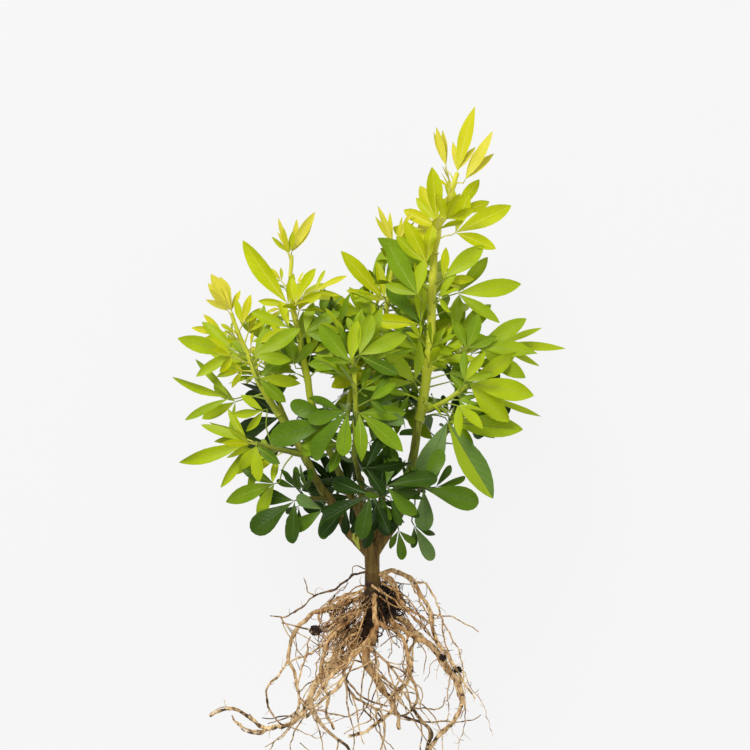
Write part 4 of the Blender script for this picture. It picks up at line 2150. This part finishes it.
@dataclass
class Roots:
    """The main roots, the rootlets of the solids, and the finer ones that grow on from them."""

    occupied: Occupied
    rng: random.Random = field(default_factory=lambda: random.Random(23))
    floor: float = -AXIS_HEIGHT + 1
    front: float = 56.0
    main_sides: int = 12
    thin_sides: int = 8
    strand_sides: int = 6
    hair_sides: int = 4
    step: float = 2.2
    soiled_girth: float = 0.72
    knob_scale: float = 0.16
    knob_growth: float = 0.30
    kink: float = 0.9
    strands: int = 3
    bundled: float = 1.05
    strand_drift: float = 8.0
    strand_scale: float = 0.017
    strand_radii: tuple = (0.7, 1.5)
    fan_count: int = 10
    fan_points: int = 8
    hair_count: int = 1000
    long_share: float = 0.2

    def build(self) -> None:
        """Makes every piece of the roots."""
        for mass in ROOT_MASSES:
            grow_rootlets(mass, self.occupied)
        mains = self.build_mains()
        strands = []
        for limb, tube in zip(ROOTS, mains):
            count = 0 if limb.name in BARE_ROOTS else self.strands
            strands += [self.strand(tube, 1.0) for _ in range(count)]
        fans = [self.fan_root() for _ in range(self.fan_count)]
        clear = [self.named(row) for row in FINE_ROOTS if not row.stained]
        thick = [tube for tube in clear if tube.radii[0] > self.bundled]
        strands += [self.strand(tube, 0.5) for tube in thick for _ in range(self.strands)]
        stained = [self.named(row) for row in FINE_ROOTS if row.stained]
        soil = self.skin("root_soil", 0.92, 0.47)
        report(swept("root_stained", stained, self.thin_sides, soil), "rootlet")
        strands += clear
        self.build_coarse(strands + fans)
        self.build_fine(mains + strands + fans)

    def skin(self, name: str, light: float, stain: float = 0.56) -> bpy.types.Material:
        """The roots' own finish, lighter or darker.

        Args:
            name: The material's name.
            light: What its colours are multiplied by.
            stain: The value of a noise above which soil stains it.

        Returns:
            The material.
        """
        main, pale = (tuple(min(255, round(value * light)) for value in colour)
                      for colour in (ROOT_TAN, ROOT_PALE))
        return RootFinish(name, SOIL_BROWN, main, pale, stain).material()

    def build_mains(self) -> list[Tube]:
        """Makes the main roots, and gives their fine tubes back.

        Returns:
            The tubes.
        """
        clean = self.skin("root_skin", 1.06)
        soiled = self.skin("root_soiled", 0.6, 0.50)
        tubes = []
        for number, limb in enumerate(ROOTS):
            own = 70 + number * 2.3
            tube = self.knobbly(refined(limb.whole(), self.step, self.main_sides, 3.0, own))
            skin = clean
            if limb.name == BARE_ROOTS[0]:
                tube.radii = [radius * self.soiled_girth for radius in tube.radii]
                skin = soiled
            piece = swept(limb.name + "_skin", [tube], self.main_sides, skin)
            roughened(piece, 0.0008, Vector((230, 150, 230)), 0.4)
            report(piece, "root", (limb.name,))
            tubes.append(tube)
        return tubes

    def knobbly(self, tube: Tube) -> Tube:
        """Thickens and thins a root along its way, and kinks it a little.

        Args:
            tube: The root's tube, which is changed.

        Returns:
            The same tube.
        """
        shift = self.rng.uniform(0, 50)
        for index in range(1, len(tube.points) - 1):
            place = tube.points[index] * self.knob_scale + Vector((shift, 0, shift))
            tube.radii[index] *= 1 + self.knob_growth * noise.noise(place * 1.6)
            tube.points[index] = tube.points[index] + noise.noise_vector(place) * self.kink
            tube.points[index].z = max(tube.points[index].z, self.floor + tube.radii[index])
        return tube

    def build_coarse(self, others: list[Tube]) -> None:
        """Makes the rootlets of the solids, and the strands and fans that run beside them.

        Args:
            others: The strands and fans.
        """
        rootlets = []
        for number, mass in enumerate(ROOT_MASSES):
            rootlets.append(refined(mass.whole(), 2.5, self.thin_sides, 1.5, number * 5.1))
            for place, tube in enumerate(mass.rootlets):
                own = number * 7.7 + place
                rootlets.append(refined(tube, 3.0, self.thin_sides, 2.2, own))
        rootlets = [self.knobbly(tube) for tube in rootlets]
        piece = swept("rootlets_coarse", rootlets, self.thin_sides, self.skin("root_thin", 0.96))
        report(piece, "rootlet", tuple(mass.name for mass in ROOT_MASSES))
        strands = [self.knobbly(tube) for tube in others]
        skin = self.skin("root_strand", 1.06)
        report(swept("root_strands", strands, self.strand_sides, skin), "rootlet")

    def named(self, row: FineRoot) -> Tube:
        """The tube of a root that stands out.

        Args:
            row: Its route and radii.

        Returns:
            The tube.
        """
        shares = np.linspace(0, 1, len(row.route))
        heights = np.interp(shares, (0.0, 0.5, 1.0), row.heights)
        route = [Vector((*point, height)) for point, height in zip(row.route, heights)]
        tube = Tube(route, taper(route, *row.radii), self.thin_sides)
        return self.knobbly(refined(tube, self.step, self.thin_sides, 1.2, row.route[0][0]))

    def strand(self, tube: Tube, share: float) -> Tube:
        """A thinner root that winds along beside another.

        Args:
            tube: The other root's tube.
            share: How far it strays, as a share of the usual drift.

        Returns:
            The thinner root's tube.
        """
        rng = self.rng
        last = len(tube.points) - 1
        start = rng.randint(0, int(last * 0.4))
        end = rng.randint(int(last * 0.6), last)
        seed = Vector([rng.uniform(0, 90) for _ in range(3)])
        points = []
        for index in range(start, end + 1):
            drift = noise.noise_vector(tube.points[index] * self.strand_scale + seed)
            drift *= self.strand_drift * share
            loose = min(1.0, 0.15 + 3 * (index - start) / (end - start))
            point = round_windows(tube.points[index] + drift * loose)
            point.z = max(point.z, self.floor)
            points.append(point)
        return Tube(points, taper(points, rng.uniform(*self.strand_radii), 0.4), self.strand_sides)

    def wander(self, foot: Vector, heading: Vector, steps: int, step: float, curl: float,
               pull: float) -> Points:
        """The way of one root that curls on from its foot.

        Args:
            foot: Where it starts.
            heading: The way it sets out.
            steps: The most steps it takes.
            step: The length of a step, in millimetres.
            curl: How sharply it turns.
            pull: How soon it turns down towards the root tips.

        Returns:
            Its points, which stay within the spread of the root ball.
        """
        swerve = scatter(self.rng, curl * 2)
        points = [foot]
        for _ in range(steps):
            swerve = swerve * 0.9 + scatter(self.rng, curl)
            heading = (heading + swerve + Vector((0, -pull, 0))).normalized()
            following = points[-1] + heading * step
            inside = ROOT_LEFT < following.x < ROOT_RIGHT + 8
            inside = inside and ROOT_FOOT < following.y < ROOT_TOP + 10
            if not inside or not self.floor < following.z < self.front:
                break
            points.append(following)
        return points

    def fan_root(self) -> Tube:
        """A root of middling size behind the stock, that arches out and then down.

        Returns:
            Its tube.
        """
        rng = self.rng
        points = []
        while len(points) < self.fan_points:
            turn = rng.gauss(-math.pi / 2, 0.6)
            outward = Vector((math.cos(turn), 0, math.sin(turn)))
            foot = Vector((ROOT_STOCK.x, rng.uniform(-40, -2), 0)) + outward * 5
            heading = (outward + Vector((0, rng.uniform(-0.7, 0.35), 0))).normalized()
            points = self.wander(foot, heading, rng.randint(14, 36), 3.0, 0.075,
                                 rng.uniform(0.04, 0.12))
        return Tube(points, taper(points, rng.uniform(*self.strand_radii), 0.35), self.strand_sides)

    def build_fine(self, stems: list[Tube]) -> None:
        """Makes the dark tangle at the stock, and the hairs along every root.

        Args:
            stems: The roots that carry hairs.
        """
        groups = {key: [] for key in HAIR_COLOURS}
        for tangle in TANGLES:
            for _ in range(tangle.count):
                shade = "dark" if self.rng.random() < tangle.dark else "tan"
                groups[shade].append(self.heart_fibre(tangle))
        for tube in [self.hair(stems) for _ in range(self.hair_count)]:
            if len(tube.points) > 2:
                groups[self.shade(tube)].append(tube)
        for key, tubes in groups.items():
            finish = PlainFinish("hair_" + key, HAIR_COLOURS[key], 0.9).material()
            report(swept("roots_fine_" + key, tubes, self.hair_sides, finish), "rootlet")

    def heart_fibre(self, tangle: Tangle) -> Tube:
        """A fibre of a tangle at the stock, which turns back wherever it would leave it.

        Args:
            tangle: The tangle.

        Returns:
            The fibre's tube.
        """
        rng = self.rng
        middle, flow = Vector(tangle.middle), Vector(tangle.flow)
        point = middle + Vector([rng.gauss(0, 0.38) * reach for reach in tangle.reach])
        heading = scatter(rng, 1).normalized()
        swerve = scatter(rng, 0.5)
        points = [point]
        for _ in range(rng.randint(6, 15)):
            swerve = swerve * 0.8 + scatter(rng, 0.3)
            out = points[-1] - middle
            beyond = Vector([far / reach for far, reach in zip(out, tangle.reach)]).length
            heading += flow + swerve - out.normalized() * max(0.0, beyond - 0.7) * 1.6
            heading.normalize()
            points.append(round_windows(points[-1] + heading * 2.5))
        return Tube(points, taper(points, rng.uniform(0.35, 1.0), 0.25), self.hair_sides)

    def hair(self, stems: list[Tube]) -> Tube:
        """A fine root that curls off a random root.

        Args:
            stems: The roots to choose from.

        Returns:
            The fine root's tube.
        """
        rng = self.rng
        stem = rng.choices(stems, [tube.length() for tube in stems])[0]
        foot, along, radius = stem.at(rng.uniform(0.05, 1.0) * (len(stem.points) - 1))
        heading = (along * 0.5 + scatter(rng, 1.2)).normalized()
        steps = rng.randint(5, 10) if rng.random() < self.long_share else rng.randint(2, 4)
        points = self.wander(foot, heading, steps, 1.7, 0.30, 0.02)
        first = min(0.4, radius * 0.8) * rng.uniform(0.7, 1.2)
        return Tube(points, taper(points, first, 0.13), self.hair_sides)

    def shade(self, tube: Tube) -> str:
        """The colour that a fine root is dealt: dark near the stock and paler away from it.

        Args:
            tube: The fine root.

        Returns:
            Its key in HAIR_COLOURS.
        """
        middle = tube.points[len(tube.points) // 2]
        away = (middle - ROOT_STOCK).length / 60 + self.rng.uniform(-0.4, 0.4)
        if middle.x > 4 and away < 0.9 or self.rng.random() < 0.25:
            return "dark"
        return "dark" if away < 0.15 else "tan" if away < 1.0 else "pale"


@dataclass
class Studio:
    """The floor, the lights and the camera."""

    distance: float = 5.0
    sensor: float = 36.0
    floor_size: float = 50.0
    floor_grey: float = 0.06
    floor_glow: float = 0.862
    sky: float = 0.50
    aim: Vector = field(default_factory=lambda: Vector((0, 0, 0.1)))

    def floor(self) -> None:
        """A plain pale floor under the plant."""
        mesh = bpy.data.meshes.new("floor")
        half = self.floor_size / 2
        corners = [(-half, -half, 0), (half, -half, 0), (half, half, 0), (-half, half, 0)]
        mesh.from_pydata(corners, [], [(0, 1, 2, 3)])
        nodes = Nodes("floor")
        nodes.shader.inputs["Base Color"].default_value = (*[self.floor_grey] * 3, 1)
        nodes.shader.inputs["Roughness"].default_value = 0.9
        nodes.shader.inputs["Specular IOR Level"].default_value = 0.0
        nodes.shader.inputs["Emission Color"].default_value = WHITE
        nodes.shader.inputs["Emission Strength"].default_value = self.floor_glow
        placed("floor", mesh, nodes.made)

    def lamp(self, name: str, place: Vector, size: float, power: float) -> None:
        """A soft square lamp that points at the plant.

        Args:
            name: Its name.
            place: Where it is, in metres.
            size: Its side, in metres.
            power: Its power, in watts.
        """
        light = bpy.data.lights.new(name, "AREA")
        light.size = size
        light.energy = power
        holder = bpy.data.objects.new(name, light)
        holder.location = place
        holder.rotation_euler = (self.aim - place).to_track_quat("-Z", "Y").to_euler()
        bpy.context.scene.collection.objects.link(holder)

    def camera(self) -> None:
        """A camera that looks straight down, framed as the photograph is."""
        data = bpy.data.cameras.new("camera")
        data.sensor_width = self.sensor
        data.lens = self.sensor * self.distance / (FRAME_WIDTH * MM)
        holder = bpy.data.objects.new("camera", data)
        across, up = FRAME_CENTRE
        holder.location = ((across - CENTRE_X) * MM, (up - CENTRE_Y) * MM,
                           AXIS_HEIGHT * MM + self.distance)
        bpy.context.scene.collection.objects.link(holder)
        bpy.context.scene.camera = holder

    def build(self) -> None:
        """Sets up the floor, the lights, the sky and the camera."""
        self.floor()
        self.lamp("key", Vector((-1.0, 1.7, 2.0)), 1.0, 52)
        self.lamp("fill", Vector((1.3, -0.6, 2.2)), 1.8, 12)
        world = bpy.context.scene.world or bpy.data.worlds.new("world")
        bpy.context.scene.world = world
        world.use_nodes = True
        sky = world.node_tree.nodes["Background"]
        sky.inputs["Color"].default_value = WHITE
        sky.inputs["Strength"].default_value = self.sky
        bpy.context.scene.view_settings.view_transform = "Standard"
        self.camera()


def write_sizes() -> None:
    """Writes the box of the solids and that of the finished plant."""
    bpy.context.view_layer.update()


def main() -> None:
    """Builds the studio and the plant."""
    logging.basicConfig(level=logging.INFO, format="%(name)s: %(message)s")
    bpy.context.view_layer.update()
    noise.seed_set(NOISE_SEED)
    Studio().build()
    plant = plan_plant()
    occupied = Occupied()
    for piece in plant.values():
        for tube in (piece.tube, *piece.stubs):
            occupied.add(tube_shell(tube), piece.name)
    Foliage(occupied).build()
    Woodwork(plant["trunk"].tube).build()
    Roots(occupied).build()
    write_sizes()


if __name__ == "__main__":
    main()
